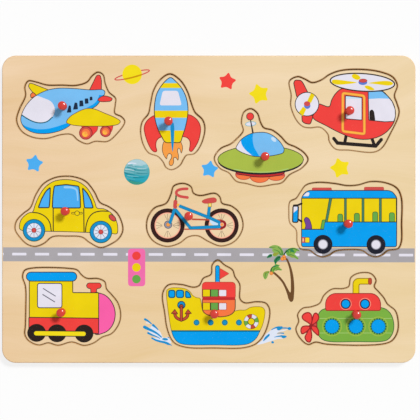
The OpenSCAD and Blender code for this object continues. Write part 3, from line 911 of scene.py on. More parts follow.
def tilted(points):
    """Points of the road, which falls a little to the right."""
    return [(x, y - ROAD_FALL * x) for x, y in points]


ROAD = tilted(block(-ROAD_HALF, ROAD_LOW, ROAD_HALF, ROAD_HIGH))


def draw_road(art, within=None):
    """Grey road with its white dashes. Gives the number of the road's layer."""
    road = art.fill("grey", ROAD, within)
    for i in range(DASH_COUNT):
        x = DASH_START + DASH_PITCH * i
        dash = block(x, DASH_MID - DASH_HALF, x + DASH_LONG, DASH_MID + DASH_HALF, DASH_ROUND)
        art.fill("white", tilted(dash), within)
    return road


def draw_traffic_light(art, x=-52.3, y=-42.2):
    art.fill("rose", block(x - 6.3, y - 13.7, x + 6.2, y + 13.6, 2.6))
    for ink, up in (("red", 8.4), ("yellow", 0), ("seat_green", -8.5)):
        art.fill(ink, ellipse(x - 0.2, y + up, 3.1))


def draw_palm(art, x=52, y=-48):
    art.fill("bark", smooth(placed([
        (6, -17.6), (4.9, -14), (3.3, -9.5), (0.9, -5), (-2.4, -1.2), (-5.7, 2), (-4.9, 2.6),
        (-1.3, -0.1), (2.4, -4.3), (4.9, -8.9), (7.1, -12.4), (7.5, -6), (7.1, 0), (6.3, 5), (4.9, 9.4),
        (3.6, 12.4), (4.8, 12.4), (6.6, 9), (8.2, 4.5), (9.4, -1), (10, -8), (9.9, -13), (9.1, -18.4),
        (7.6, -19.3),
    ], x, y)))
    art.pen("pine", placed([(1.9, 14), (4.5, 18.2)], x, y), 0.9)
    for ink, leaf, strokes in (
        ("leaf", [
            (-0.2, 14), (-1.9, 14), (-3.5, 12.8), (-4.8, 10.6), (-4.2, 8.8), (-4, 7.4), (-3, 8.8),
            (-2.2, 10), (-0.6, 11.2), (0, 12.6),
        ], [("pine", 1, [(-0.4, 13.4), (-2.6, 12.2), (-3.8, 9.2)])]),
        ("leaf", [(-9.9, 12.6), (-9, 14.5), (-7.3, 15.5), (-6, 15), (-6.4, 13.5), (-7.9, 12.9)],
         [("pine", 0.9, [(-6.2, 14.8), (-7.6, 14.3), (-9.2, 13.2)])]),
        ("moss", [
            (-8.4, 20.3), (-6, 21.7), (-4.1, 22), (-1.9, 21.6), (0.2, 20.4), (1.5, 18.3), (2.2, 16.3),
            (1.6, 14.6), (0, 14.4), (-1.4, 15.2), (-2.7, 13.9), (-4.8, 13.8), (-6, 15.1), (-4.9, 16.4),
            (-6, 17.8), (-5.8, 19.2),
        ], [
            ("fern", 1.4, [(1.4, 14.8), (0.8, 18), (-1.6, 20.4)]),
            ("fern", 1, [(0.2, 15), (-1.4, 17.4), (-4.4, 18.6)]),
            ("olive", 2, [(-4.4, 15.2), (-2.8, 15.7), (-1.6, 16.4)]),
            ("fern", 0.6, [(-8, 20.3), (-5.6, 20.2), (-3.6, 20.6)]),
        ]),
        ("moss", [
            (4.4, 14.6), (6.6, 16), (9.4, 16), (11.3, 14.4), (13.1, 12.2), (12.4, 11.6), (10.2, 12.6),
            (8.2, 12.8), (6.4, 13.8),
        ], [("fern", 1, [(4.8, 14.5), (8, 14.9), (12.6, 12.1)]), ("olive", 1, [(6.8, 13.9), (9.4, 13.5)])]),
        ("green", [
            (4, 17.4), (5.4, 19.1), (7.8, 20), (10.2, 20), (12.3, 19.2), (14, 17.5), (12, 17.7),
            (11, 16.4), (10.2, 15.6), (8.2, 16.2), (6.2, 15.4), (4.6, 14.6),
        ], [
            ("pine", 0.8, [(4.2, 17), (6.2, 18.9), (10, 19.4), (13.2, 18)]),
            ("leaf", 2.4, [(7.8, 18.2), (9, 17.6), (9.8, 17)]),
            ("leaf", 0.8, [(5.4, 18.2), (5.6, 16.6), (5.2, 15.4)]),
            ("fern", 0.8, [(6.8, 18.6), (7.2, 17), (6.8, 16)]),
        ]),
        ("moss", [
            (-7.9, 2.8), (-9.9, 3.1), (-12, 2.2), (-12.7, 0.2), (-12.1, -1.8), (-11.1, -3), (-9.8, -1.7),
            (-9.2, -0.2), (-8.6, 1.4),
        ], [
            ("fern", 0.9, [(-7.9, 2.4), (-10.4, 1.8), (-11.4, -2.2)]),
            ("olive", 0.8, [(-9, 2.6), (-11.6, 1.6), (-12, -0.6)]),
        ]),
        ("moss", [(-4, 3.1), (-1.8, 5.1), (-0.2, 5.1), (1.2, 3.9), (-0.2, 3.5), (-1.8, 3.8)],
         [("fern", 0.7, [(-3.4, 3.6), (-1, 4.4), (0.8, 4)])]),
        ("green", [
            (-7.3, 2.4), (-7.4, 4.2), (-6.1, 6.2), (-4.3, 7.3), (-3.6, 8.3), (-2.2, 7.9), (-0.5, 7.3),
            (-1.4, 6.2), (-0.1, 5.4), (-2.4, 4.6), (-4.2, 3.4), (-5, 2.2),
        ], [
            ("pine", 1, [(-7, 2.8), (-6.5, 5), (-4.4, 7)]),
            ("leaf", 1.2, [(-4.6, 6.4), (-2.8, 7), (-1.2, 6.9)]),
            ("fern", 0.9, [(-5.2, 3.8), (-3.8, 5.2), (-1.4, 5.6)]),
        ]),
    ):
        inside = art.fill(ink, smooth(placed(leaf, x, y)))
        for stroke_ink, width, run in strokes:
            art.pen(stroke_ink, bent(placed(run, x, y)), width, 0.4 * width, within=inside)
    for u, v, r in ((2.6, 13.4, 1.3), (1.4, 12, 1.3), (3, 12.1, 1), (-6.6, 1.5, 1.2)):
        art.shape("flame", ellipse(x + u, y + v, r, steps=20), line=0.25, edge="rust")


tell(draw_road, draw_traffic_light, draw_palm)


# %% Splashes
def draw_splash(art, x, y, foam, drops, strokes):
    """Pale foam under blue drops and brush strokes, round a middle."""
    art.fill("spray", smooth(placed(foam, x, y)))
    for drop in drops:
        art.fill("sea_blue", smooth(placed(drop, x, y)))
    for ink, width, end, run in strokes:
        art.pen(ink, bent(placed(run, x, y)), width, end)


def draw_sea(art):
    draw_splash(art, -38, -90, [
        (-8.2, 4.9), (-4.4, 4.2), (-2.8, 6.2), (0.2, 3.4), (3, 0.6), (4.4, -2.6), (5.2, -3.2),
        (8.6, -3.2), (10.8, -7.2), (8, -6.6), (5, -5.9), (0, -4.7), (-2.8, -3.2), (1, -3.2), (-2, -1),
        (-5.6, 1.2),
    ], (
        [(4, -4.2), (5.4, -3.4), (8, -3.9), (8.4, -4.8), (6, -5.2)],
    ), (
        ("sea_blue", 1.7, 0.8, [(-8.2, 10.1), (-6, 8.9), (-3.6, 6.9)]),
        ("spray", 0.9, 0.5, [(-7.2, 7.7), (-5, 7.1)]),
        ("sea_blue", 1.8, 0.7, [(-2.4, 5.9), (-0.6, 4.4), (1.2, 2.6)]),
        ("sea_blue", 2.3, 0.9, [(-8.6, 4.5), (-5.4, 2.9), (-2.2, 1.4), (0.8, -0.4), (3.6, -2.8)]),
        ("sea_blue", 1.5, 0.5, [(-6, 0.2), (-3, -1.3), (0, -2.4), (2.6, -3.8)]),
        ("sea_blue", 1.2, 1.8, [(-3.2, -3.5), (-0.6, -4.9), (3, -6), (6.3, -6.7), (8.6, -7.7)]),
        ("sea_blue", 1.6, 0.4, [(8.2, -7.5), (11.2, -8.8)]),
        ("sea_blue", 0.7, 0.4, [(8.4, -3), (9.5, -3.4)]),
    ))
    draw_splash(art, 50, -90, [
        (-15, -8.1), (-11, -4.6), (-9.4, -1.5), (-6.5, 1), (-4.5, 2.6), (-1.6, 3.6), (0.3, 2), (3, 2.3),
        (7.2, 2.8), (4, 1.5), (1, 1), (-0.8, -0.6), (4.4, -0.7), (2, -1.4), (-1, -2), (2.4, -3.2),
        (3.8, -4), (0.5, -4), (-3, -5.1), (-7, -6.3), (-11, -7.6),
    ], (
        [(-0.7, 3), (0.3, 2.1), (2.1, 2.5), (3.3, 3.6), (3.4, 4.9), (1.5, 5), (-0.4, 4)],
        [(2.7, -2.6), (3.9, -3.6), (5.7, -3.2), (6.6, -2.2), (5.2, -1.6), (3.3, -1.7)],
        [(-10.6, -5.8), (-9.7, -3.5), (-7.9, -1.5), (-6.1, -0.4), (-5.8, -1.4), (-7.3, -3.2), (-9.1, -4.8)],
    ), (
        ("sea_blue", 0.5, 1.4, [(-4.6, 2.5), (-3, 3.4), (-0.9, 4.2), (1, 4.5)]),
        ("sea_blue", 1, 0.9, [(3.2, 3.8), (6.3, 3.8), (8, 3.6)]),
        ("sea_blue", 2.3, 2.1, [(8.4, 3.4), (8.8, 3.4)]),
        ("sea_blue", 0.4, 1, [(-0.2, 0), (2, 0.2), (4.2, 0)]),
        ("sea_blue", 0.4, 1.2, [(-2.4, -2.8), (0, -2.3), (3, -1.9)]),
        ("sea_blue", 1.8, 1.6, [(-3.8, -6.5), (-3.5, -6.6)]),
    ))


tell(draw_sea)

# %% [markdown]
# ## From drawing to mesh
#
# The print could be an image, but an image has pixels and this part carries none. Instead the drawing
# cuts the flat face itself: Blender's constrained triangulation takes every outline as a fold line and
# says which shapes each small triangle lies in. The topmost shape gives the triangle its ink, which is
# kept as a colour attribute on the mesh, so the colours stay sharp at any distance.


# %% Cut a flat face along a drawing
CLOSE = 0.006


def box_of(points):
    """Lowest and highest x and y of an outline."""
    xs, ys = zip(*points)
    return min(xs), min(ys), max(xs), max(ys)


def covers(points, box, x, y):
    """Whether an outline goes round a place, also where it crosses itself."""
    if not (box[0] < x < box[2] and box[1] < y < box[3]):
        return False
    turns = 0
    ax, ay = points[-1]
    for bx, by in points:
        if (ay > y) != (by > y):
            side = (bx - ax) * (y - ay) - (x - ax) * (by - ay)
            turns += 1 if by > ay and side > 0 else -1 if by < ay and side < 0 else 0
        ax, ay = bx, by
    return turns != 0


def topmost(layers, boxes, x, y):
    """Ink of the highest layer at a place that also lies within the layer it names."""
    for (ink, points, within), box in zip(reversed(layers), reversed(boxes)):
        if covers(points, box, x, y):
            if within is None or covers(layers[within][1], boxes[within], x, y):
                return ink
    return "bare"


def triangulate(outlines, close):
    """Points, triangles and sources of the flat face that outlines divide. Points closer than that snap."""
    points, edges = [], []
    for outline in outlines:
        first, count = len(points), len(outline)
        edges.extend((first + i, first + (i + 1) % count) for i in range(count))
        points.extend(Vector(p) for p in outline)
    verts, _, faces, sources, _, _ = delaunay_2d_cdt(points, edges, [], 0, close)
    return verts, faces, sources


def cut_face(outlines, layers, close=CLOSE):
    """Points, triangles and inks of the face between the first outline and the others."""
    verts, faces, sources = triangulate(outlines + [layer[1] for layer in layers], close)
    holes = [(outline, box_of(outline)) for outline in outlines]
    boxes = [box_of(layer[1]) for layer in layers]
    kept, inks = [], []
    for face in faces:
        x, y = sum((verts[i] for i in face), Vector((0.0, 0.0))) / len(face)
        if [covers(*hole, x, y) for hole in holes] == [True] + [False] * (len(holes) - 1):
            kept.append(face)
            inks.append(topmost(layers, boxes, x, y))
    return verts, kept, inks, sources


# %% [markdown]
# ## A slab with eased edges
#
# A figure and the panel are both slabs: a printed face, an edge that sandpaper or the saw has eased, walls
# and a plain underside. The walls grow from the border of the cut face, ring by ring, so they share its
# points and the slab is closed. A ring knows which way is out from the two border edges at each point.

# %% Build a slab
PRINT, CUT, EDGE = 0, 1, 2
EXACT = 1e-6


def border_loops(bm):
    """Loops of border points of an open face, each with the face on its left."""
    following = {}
    for edge in bm.edges:
        if edge.is_boundary:
            loop = edge.link_loops[0]
            following[loop.vert] = loop.link_loop_next.vert
    loops = follow(following)
    return sorted(loops, key=lambda loop: -abs(area([(v.co.x, v.co.y) for v in loop])))


def add_ring(bm, loop, before, offsets, out, z, slot):
    """Band of faces from one ring of points to the next, further out and lower."""
    ring = [bm.verts.new((x + dx * out, y + dy * out, z)) for (x, y), (dx, dy) in zip(loop, offsets)]
    for i in range(len(ring)):
        k = (i + 1) % len(ring)
        face = bm.faces.new((before[k], before[i], ring[i], ring[k]))
        face.material_index = slot
        face.smooth = True
    return ring


def close_below(bm, rings, slot):
    """Flat underside between the lowest rings. A sliver along the outside of a ring is left out."""
    points = [v for ring in rings for v in ring]
    outside = {(b, a) for ring in rings for a, b in zip(ring, ring[1:] + ring[:1])}
    flat = [[(v.co.x / MM, v.co.y / MM) for v in ring] for ring in rings]
    _, faces, _, sources = cut_face(flat, [], EXACT)
    for face in faces:
        corners = [points[sources[i][0]] for i in face]
        if outside.isdisjoint(zip(corners, corners[1:] + corners[:1])):
            bm.faces.new(corners[::-1]).material_index = slot


def quarter_round(radius, steps=5):
    """Ways out and down along a rounded edge, in mm."""
    turns = [math.pi / 2 * k / steps for k in range(1, steps + 1)]
    return [(radius * math.sin(a), radius * (1 - math.cos(a))) for a in turns]


def new_object(name, data):
    """Object in the scene for a mesh, a camera or a lamp."""
    made = bpy.data.objects.new(name, data)
    bpy.context.collection.objects.link(made)
    return made


def build_slab(name, outlines, art, high, low, edges):
    """Slab from its outlines in mm. Each outline has the profile of its edge and a slot for its wall."""
    bm = bmesh.new()
    verts, faces, inks, _ = cut_face(outlines, art.layers)
    made = [bm.verts.new((v.x * MM, v.y * MM, high)) for v in verts]
    for face in faces:
        bm.faces.new([made[i] for i in face]).material_index = PRINT
    bmesh.ops.delete(bm, geom=[v for v in made if not v.link_faces], context="VERTS")
    lowest = []
    for number, loop in enumerate(border_loops(bm)):
        profile, slot = edges[min(number, len(edges) - 1)]
        flat = [(v.co.x, v.co.y) for v in loop]
        ways = [(q[0] - p[0], q[1] - p[1]) for p, q in zip(flat, grown(flat, 1.0))]
        ring, out = loop, 0.0
        for out, down in profile:
            ring = add_ring(bm, flat, ring, ways, out * MM, high - down * MM, slot)
        lowest.append(add_ring(bm, flat, ring, ways, out * MM, low, slot))
    close_below(bm, lowest, EDGE)
    mesh = bpy.data.meshes.new(name)
    bm.to_mesh(mesh)
    bm.free()
    cover = mesh.color_attributes.new("ink", "FLOAT_COLOR", "CORNER")
    for polygon in mesh.polygons:
        ink = inks[polygon.index] if polygon.index < len(inks) else "bare"
        for corner in polygon.loop_indices:
            cover.data[corner].color = INK_LIGHT[ink]
    return new_object(name, mesh)


# %% [markdown]
# ## Grain and ink as node groups
#
# Wood grain shows on the panel, the figures and the backing, so it is one node group with the size of its
# streaks as inputs. It reads Object coordinates, which here are the board's own, so the grain runs on from
# the panel into each figure, as it does in the sheet that they were sawn from. The streaks lean and wander
# a little. The sheet is a touch rosier at its left end. The group also paints light into the wood's colour:
# the wood is painted a little paler towards the board's upper edge, for light that falls off across the
# board.

# %% Node helpers
COLOUR, VALUE = "NodeSocketColor", "NodeSocketFloat"
WHITE = (1.0, 1.0, 1.0, 1.0)


def new_group(name, inputs, outputs):
    """Empty shader node group with named sockets, what is given to it and where its results go."""
    group = bpy.data.node_groups.new(name, "ShaderNodeTree")
    for socket, kind, value in inputs:
        made = group.interface.new_socket(socket, in_out="INPUT", socket_type=kind)
        made.default_value = value
    for socket, kind in outputs:
        group.interface.new_socket(socket, in_out="OUTPUT", socket_type=kind)
    return group, group.nodes.new("NodeGroupInput").outputs, group.nodes.new("NodeGroupOutput")


def feed(tree, made, links):
    """Set a node's inputs, each to a value or to a socket that is linked to it."""
    for socket, value in links:
        if isinstance(value, bpy.types.NodeSocket):
            tree.links.new(value, made.inputs[socket])
        else:
            made.inputs[socket].default_value = value


def node(tree, kind, links=(), **settings):
    """New node with its settings and its inputs."""
    made = tree.nodes.new(kind)
    for key, value in settings.items():
        setattr(made, key, value)
    feed(tree, made, links)
    return made


def calc(tree, a, b, operation="ADD", clamp=False):
    """Result of one step of arithmetic with two numbers or sockets."""
    return node(tree, "ShaderNodeMath", [(0, a), (1, b)], operation=operation, use_clamp=clamp).outputs[0]


def times(tree, a, b):
    return calc(tree, a, b, "MULTIPLY")


def swing(tree, value, reach):
    """How far a value from 0 to 1 lies from a half, times a reach."""
    return times(tree, calc(tree, value, 0.5, "SUBTRACT"), reach)


def ranged(tree, value, low, high, to_low=0.0, to_high=1.0):
    """A value between two limits, brought to between two others."""
    limits = [("From Min", low), ("From Max", high), ("To Min", to_low), ("To Max", to_high)]
    return node(tree, "ShaderNodeMapRange", [("Value", value)] + limits).outputs[0]


def vector(tree, a, b, operation="ADD"):
    return node(tree, "ShaderNodeVectorMath", [(0, a), (1, b)], operation=operation).outputs[0]


def own_place(tree):
    """Object coordinates of the place that is looked at."""
    return node(tree, "ShaderNodeTexCoord").outputs["Object"]


def noise(tree, place, scale, detail):
    links = [("Vector", place), ("Scale", scale), ("Detail", detail)]
    return node(tree, "ShaderNodeTexNoise", links).outputs["Fac"]


def blend(tree, share, a, b, how="MIX"):
    """Colour between two colours."""
    made = node(tree, "ShaderNodeMix", [(0, share), (6, a), (7, b)], data_type="RGBA", blend_type=how)
    return made.outputs[2]


def rgba(red, green, blue):
    return linear_rgb(red, green, blue) + (1.0,)


# %% Wood grain group
GRAIN_TURN = math.radians(-5)
GRAIN_WANDER = 0.05
STREAK_SHARE, CLOUD_SHARE, FIBRE_SHARE = 0.4, 0.6, 0.2
GRAIN_DEPTH = 2.8
# Painted light: how much paler the wood is painted per metre towards the upper edge.
PAINTED_LIGHT_UPWARDS = 0.9
ROSY = (1.0, 0.88, 0.94, 1.0)
ROSY_LEFT, ROSY_END = -0.15, 0.1


def make_grain():
    """Soft streaks with fine fibres, mostly along X, that wander a little, with painted light that is paler
    towards +Y.
    """
    group, given, out = new_group(
        "wood_grain",
        [("Pale", COLOUR, rgba(244, 221, 187)), ("Dark", COLOUR, rgba(226, 198, 142)),
         ("Contrast", VALUE, 1.0), ("Streaks", VALUE, 75.0), ("Fibres", VALUE, 1300.0)],
        [("Color", COLOUR), ("Streak", VALUE), ("Height", VALUE)],
    )
    place = own_place(group)
    wander = swing(group, noise(group, place, 9.0, 1.0), GRAIN_WANDER)
    shift = node(group, "ShaderNodeCombineXYZ", [("Y", wander)]).outputs[0]
    links = [("Vector", vector(group, place, shift)), ("Rotation", (0.0, 0.0, GRAIN_TURN))]
    turned = node(group, "ShaderNodeMapping", links).outputs[0]

    def stretched(per_metre, along, seed):
        """Noise that is drawn out along the grain."""
        links = [("X", along), ("Y", per_metre), ("Z", per_metre)]
        scale = node(group, "ShaderNodeCombineXYZ", links).outputs[0]
        drawn = vector(group, turned, scale, "MULTIPLY")
        return noise(group, vector(group, drawn, (seed, seed, seed)), 1.0, 3.0)

    streak = stretched(given["Streaks"], 7.0, 11.3)
    fibre = stretched(given["Fibres"], 40.0, 4.7)
    cloud = stretched(26.0, 6.0, 2.1)
    tone = calc(group, times(group, streak, STREAK_SHARE), times(group, cloud, CLOUD_SHARE))
    tone = calc(group, tone, swing(group, fibre, FIBRE_SHARE))
    spread = swing(group, tone, given["Contrast"])
    sides = node(group, "ShaderNodeSeparateXYZ", [(0, place)]).outputs
    # Painted light: the wood is painted paler upwards, for light that falls off across the board.
    painted_light_falloff = calc(group, 0.5, times(group, sides["Y"], PAINTED_LIGHT_UPWARDS), "SUBTRACT")
    share = calc(group, times(group, spread, GRAIN_DEPTH), painted_light_falloff, clamp=True)
    wood = blend(group, share, given["Pale"], given["Dark"])
    rosy = times(group, ranged(group, sides["X"], ROSY_LEFT, ROSY_END, 1.0, 0.0), cloud)
    tinted = blend(group, rosy, wood, ROSY, "MULTIPLY")
    # The Streak output is the wood's tone share, and the painted light is in it too.
    feed(group, out, [("Color", tinted), ("Streak", share), ("Height", fibre)])
    return group


GRAIN = make_grain()
print("node group:", GRAIN.name)

# %% [markdown]
# Printed ink is thin. It follows the fibres a little, so it is a touch darker along some streaks, and it
# misses a few pin holes. The second group lays ink over wood that way and says how shiny the result is.

# %% Ink group
PIN_HOLE_FROM, PIN_HOLE_TO, PIN_HOLE_LOSS = 0.74, 0.8, 0.5
UNEVEN_INK, STREAKY_INK = 0.16, -0.06
ROUGH_WOOD, ROUGH_INK, ROUGH_SPREAD = 0.56, 0.42, 0.5


def make_ink_cover():
    """Ink over wood: the colour and the roughness that come of both."""
    group, given, out = new_group(
        "ink_on_wood",
        [("Wood", COLOUR, rgba(238, 210, 168)), ("Ink", COLOUR, WHITE), ("Coverage", VALUE, 0.0),
         ("Streak", VALUE, 0.5)],
        [("Color", COLOUR), ("Roughness", VALUE)],
    )
    place = own_place(group)
    pin_hole = ranged(group, noise(group, place, 2600.0, 1.0), PIN_HOLE_FROM, PIN_HOLE_TO)
    kept = calc(group, 1.0, times(group, pin_hole, PIN_HOLE_LOSS), "SUBTRACT")
    cover = times(group, given["Coverage"], kept)
    uneven = swing(group, noise(group, place, 90.0, 3.0), UNEVEN_INK)
    level = calc(group, calc(group, uneven, swing(group, given["Streak"], STREAKY_INK)), 1.0)
    grey = node(group, "ShaderNodeCombineColor", [(0, level), (1, level), (2, level)]).outputs[0]
    tinted = blend(group, 1.0, given["Ink"], grey, "MULTIPLY")
    rough = ranged(group, cover, 0.0, 1.0, ROUGH_WOOD, ROUGH_INK)
    rough = calc(group, rough, times(group, uneven, ROUGH_SPREAD))
    feed(group, out, [("Color", blend(group, cover, given["Wood"], tinted)), ("Roughness", rough)])
    return group


INK_COVER = make_ink_cover()
print("node group:", INK_COVER.name)

# %% [markdown]
# ## Materials
#
# Four finishes cover the puzzle: printed wood for the sheet, browned wood where the saw went through,
# sanded wood with its plies for the outer edges and the back, and glossy red plastic for the pegs.

# %% Printed and sanded wood
PLY_BLUR = 0.08 * MM
PLY_BROWN = rgba(168, 120, 72)


def new_material(name):
    """Material with only its Principled shader, and the tree that holds it."""
    made = bpy.data.materials.new(name)
    made.use_nodes = True
    return made, made.node_tree, made.node_tree.nodes["Principled BSDF"]


def placed_group(tree, group, **values):
    """What a node group gives in a material, with the group's own values or links there."""
    return node(tree, "ShaderNodeGroup", values.items(), node_tree=group).outputs


def bumpy(tree, height, strength, distance):
    """Direction of a surface that a height makes uneven."""
    links = [("Height", height), ("Strength", strength), ("Distance", distance)]
    return node(tree, "ShaderNodeBump", links).outputs["Normal"]


def make_printed_wood():
    """Wood under the inks of the colour attribute."""
    made, tree, shader = new_material("printed_wood")
    wood = placed_group(tree, GRAIN, Contrast=0.55)
    ink = node(tree, "ShaderNodeAttribute", attribute_name="ink").outputs
    cover = placed_group(tree, INK_COVER, Wood=wood["Color"], Streak=wood["Streak"],
                         Ink=ink["Color"], Coverage=ink["Alpha"])
    feed(tree, shader, [
        ("Base Color", cover["Color"]),
        ("Roughness", cover["Roughness"]),
        ("Specular IOR Level", 0.06),
        ("Normal", bumpy(tree, wood["Height"], 0.12, 0.05 * MM)),
    ])
    return made


def make_sanded_wood(name, pale, dark, low, high):
    """Bare wood whose edge shows a darker ply between two heights."""
    made, tree, shader = new_material(name)
    wood = placed_group(tree, GRAIN, Pale=rgba(*pale), Dark=rgba(*dark))
    place = own_place(tree)
    height = node(tree, "ShaderNodeSeparateXYZ", [(0, place)]).outputs["Z"]
    facing = node(tree, "ShaderNodeNewGeometry").outputs["True Normal"]
    up = node(tree, "ShaderNodeSeparateXYZ", [(0, facing)]).outputs["Z"]
    side = calc(tree, 1.0, calc(tree, up, 0.0, "ABSOLUTE"), "SUBTRACT", True)
    above = ranged(tree, height, low - PLY_BLUR, low + PLY_BLUR)
    below = ranged(tree, height, high + PLY_BLUR, high - PLY_BLUR)
    ply = times(tree, times(tree, above, below), side)
    share = times(tree, ply, times(tree, noise(tree, place, 1400.0, 2.0), 0.75))
    feed(tree, shader, [
        ("Base Color", blend(tree, share, wood["Color"], PLY_BROWN)),
        ("Roughness", ranged(tree, wood["Streak"], 0.0, 1.0, 0.6, 0.72)),
        ("Specular IOR Level", 0.15),
        ("Normal", bumpy(tree, wood["Height"], 0.25, 0.06 * MM)),
    ])
    return made


PRINTED_WOOD = make_printed_wood()
panel_t = FACE_Z - SEAT_Z
PANEL_EDGE = make_sanded_wood(
    "sanded_panel_edge", (240, 212, 172), (220, 184, 132), SEAT_Z + 0.22 * panel_t, SEAT_Z + 0.78 * panel_t)
BACKING_WOOD = make_sanded_wood(
    "backing_wood", (233, 203, 158), (208, 170, 118), 0.32 * back_high.z, 0.68 * back_high.z)
print("materials:", PRINTED_WOOD.name, PANEL_EDGE.name, BACKING_WOOD.name)

# %% [markdown]
# The saw cut is browned like toast, with paler and deeper patches that run down the wall. Noise that is
# drawn out along Z gives those runs.


# %% Browned cut and peg plastic
def make_scorched_cut():
    """Wood that the saw has browned."""
    made, tree, shader = new_material("scorched_cut")
    place = own_place(tree)
    links = [("Vector", place), ("Scale", (900.0, 900.0, 120.0))]
    runs = noise(tree, node(tree, "ShaderNodeMapping", links).outputs[0], 1.0, 3.0)
    patch = noise(tree, place, 70.0, 2.0)
    share = calc(tree, times(tree, runs, 0.7), times(tree, patch, 0.5), clamp=True)
    feed(tree, shader, [
        ("Base Color", blend(tree, share, rgba(204, 146, 74), rgba(246, 200, 120))),
        ("Roughness", ranged(tree, runs, 0.0, 1.0, 0.7, 0.9)),
        ("Specular IOR Level", 0.2),
        ("Normal", bumpy(tree, runs, 0.3, 0.1 * MM)),
    ])
    return made


def make_peg_plastic():
    """Glossy red plastic with faint flow marks and fine scuffs."""
    made, tree, shader = new_material("peg_plastic")
    place = own_place(tree)
    flow = noise(tree, place, 260.0, 2.0)
    scuff = noise(tree, place, 2400.0, 3.0)
    feed(tree, shader, [
        ("Base Color", blend(tree, flow, rgba(196, 30, 14), rgba(218, 42, 20))),
        ("Roughness", ranged(tree, scuff, 0.3, 0.8, 0.16, 0.34)),
        ("Coat Weight", 0.2),
        ("Normal", bumpy(tree, flow, 0.05, 0.1 * MM)),
    ])
    return made


SCORCHED_CUT = make_scorched_cut()
PEG_PLASTIC = make_peg_plastic()
print("materials:", SCORCHED_CUT.name, PEG_PLASTIC.name)

# %% [markdown]
# ## The figures
#
# A figure's border is eased by a hair where the cut leaves the face, and a narrow band of the face beside
# the cut is browned. On the road the band is dark grey instead: painted shade, for the shadowed gap
# beside it. The band is the lowest layer of its print: scorch all over, then bare wood inside. A loose
# figure never lies quite in the middle of its recess, so each has a lean in mm, to the right and upwards.

# %% Print and cut the figures
CUT_EASE = 0.12
CUT_FLARE = [(0.08, 0.15), (CUT_EASE, 0.6)]
SCORCH_BAND = 0.38
FIGURE_ART = {
    "plane": (draw_plane, (0.08, -0.19)), "rocket": (draw_rocket, (-0.07, -0.36)),
    "saucer": (draw_saucer, (-0.13, -0.21)), "helicopter": (draw_helicopter, (-0.14, -0.3)),
    "car": (draw_car, (-0.09, -0.09)), "bicycle": (draw_bicycle, (0.06, -0.21)),
    "bus": (draw_bus, (-0.34, -0.16)), "train": (draw_train, (0.1, -0.12)),
    "ship": (draw_ship, (0.0, -0.08)), "submarine": (draw_submarine, (-0.07, 0.08)),
}


def make_figure(name):
    """Printed figure with its browned edge and the hole for its peg."""
    draw, lean = FIGURE_ART[name]
    border, hole = face_outlines(name + "_piece", FACE_Z)
    face = placed(grown(turning(border), -CUT_EASE), *lean)
    art = Print()
    art.fill("scorch", face)
    inner = art.fill("bare", grown(face, -SCORCH_BAND))
    # Painted shade: dark grey on the road beside the cut, for the shadowed gap.
    art.fill("road_gap_shade", ROAD)
    draw_road(art, inner)
    art.origin = PEG_AT[name]
    draw(art)
    edges = [(CUT_FLARE, CUT), ([], EDGE)]
    figure = build_slab(name + "_figure", [face, turning(hole)], art, FACE_Z, SEAT_Z, edges)
    for material in (PRINTED_WOOD, SCORCHED_CUT, PANEL_EDGE):
        figure.data.materials.append(material)
    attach(figure, name)
    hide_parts(name + "_piece")
    return figure


for name in FIGURES:
    figure = make_figure(name)
    print("%-20s %5d triangles" % (figure.name, len(figure.data.polygons)))

# %% [markdown]
# ## The panel
#
# The panel is the same slab with ten openings. Its outer edge is sanded to a rounding that the packed
# panel already has, so that rounding is measured: it is how far the flat face stops short of the side.


# %% Print and cut the panel
def make_panel():
    """Printed sheet with an opening for each figure."""
    border, *recesses = [turning(outline) for outline in face_outlines("frame_panel", FACE_Z)]
    edge_round = panel_high.x / MM - max(x for x, _ in border)
    openings = [grown(recess, CUT_EASE) for recess in recesses]
    rims = [grown(opening, SCORCH_BAND) for opening in openings]
    art = Print()
    for rim in rims:
        art.fill("scorch", rim)
    draw_sky(art)
    road = draw_road(art)
    for rim in rims:
        # Painted shade: dark grey on the road beside each opening, for the shadowed gap.
        art.fill("road_gap_shade", rim, within=road)
    for draw in (draw_traffic_light, draw_palm, draw_sea):
        draw(art)
    edges = [(quarter_round(edge_round), EDGE), (CUT_FLARE, CUT)]
    panel = build_slab("printed_panel", [border, *openings], art, FACE_Z, SEAT_Z, edges)
    for material in (PRINTED_WOOD, SCORCHED_CUT, PANEL_EDGE):
        panel.data.materials.append(material)
    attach(panel, "board")
    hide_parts("frame_panel")
    print("%s: %d triangles, edge rounded %.2f mm" % (panel.name, len(panel.data.polygons), edge_round))


make_panel()

# %% [markdown]
# ## The backing
#
# The backing sheet already has its true shape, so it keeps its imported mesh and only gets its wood.

# %% Finish the backing
backing = frame["nodes"]["backing_board"]
backing.data.materials.clear()
backing.data.materials.append(BACKING_WOOD)
print("backing:", len(backing.data.polygons), "triangles")

# %% [markdown]
# ## The pegs
#
# Ten equal turned pegs are a rule twice over: one profile spun round an axis, at ten places. A Geometry
# Nodes tree draws the profile from named points, as radius and height above the face. The first four steps
# from point to point are straight lines, and from there on every second point is the middle of an arc.
# Sweeping that profile round a tiny circle is a lathe. The seat of each peg is an input too.

# %% Profile of a peg
HEAD_R, RIM_R, CROWN_R = 3.1, 1.1, 6.0
WAIST_R, NECK_R = 2.0, 12.0
NECK_MEET = 0.94
COLLAR_R, COLLAR_T = 2.8, 1.0
SHANK_R, SHANK_LEAD = 1.8, 0.5
peg_low, peg_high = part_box(FIGURES[0] + "_peg")
PEG_TOP = (peg_high.z - FACE_Z) / MM
SHANK_END = (peg_low.z - FACE_Z) / MM
rim_x = HEAD_R - RIM_R
rim_z = PEG_TOP - CROWN_R + math.sqrt((CROWN_R - RIM_R) ** 2 - rim_x ** 2)
neck_mid = (COLLAR_T + rim_z - RIM_R) / 2
neck_top = rim_z - NECK_MEET * RIM_R
meet_x = rim_x * CROWN_R / (CROWN_R - RIM_R)


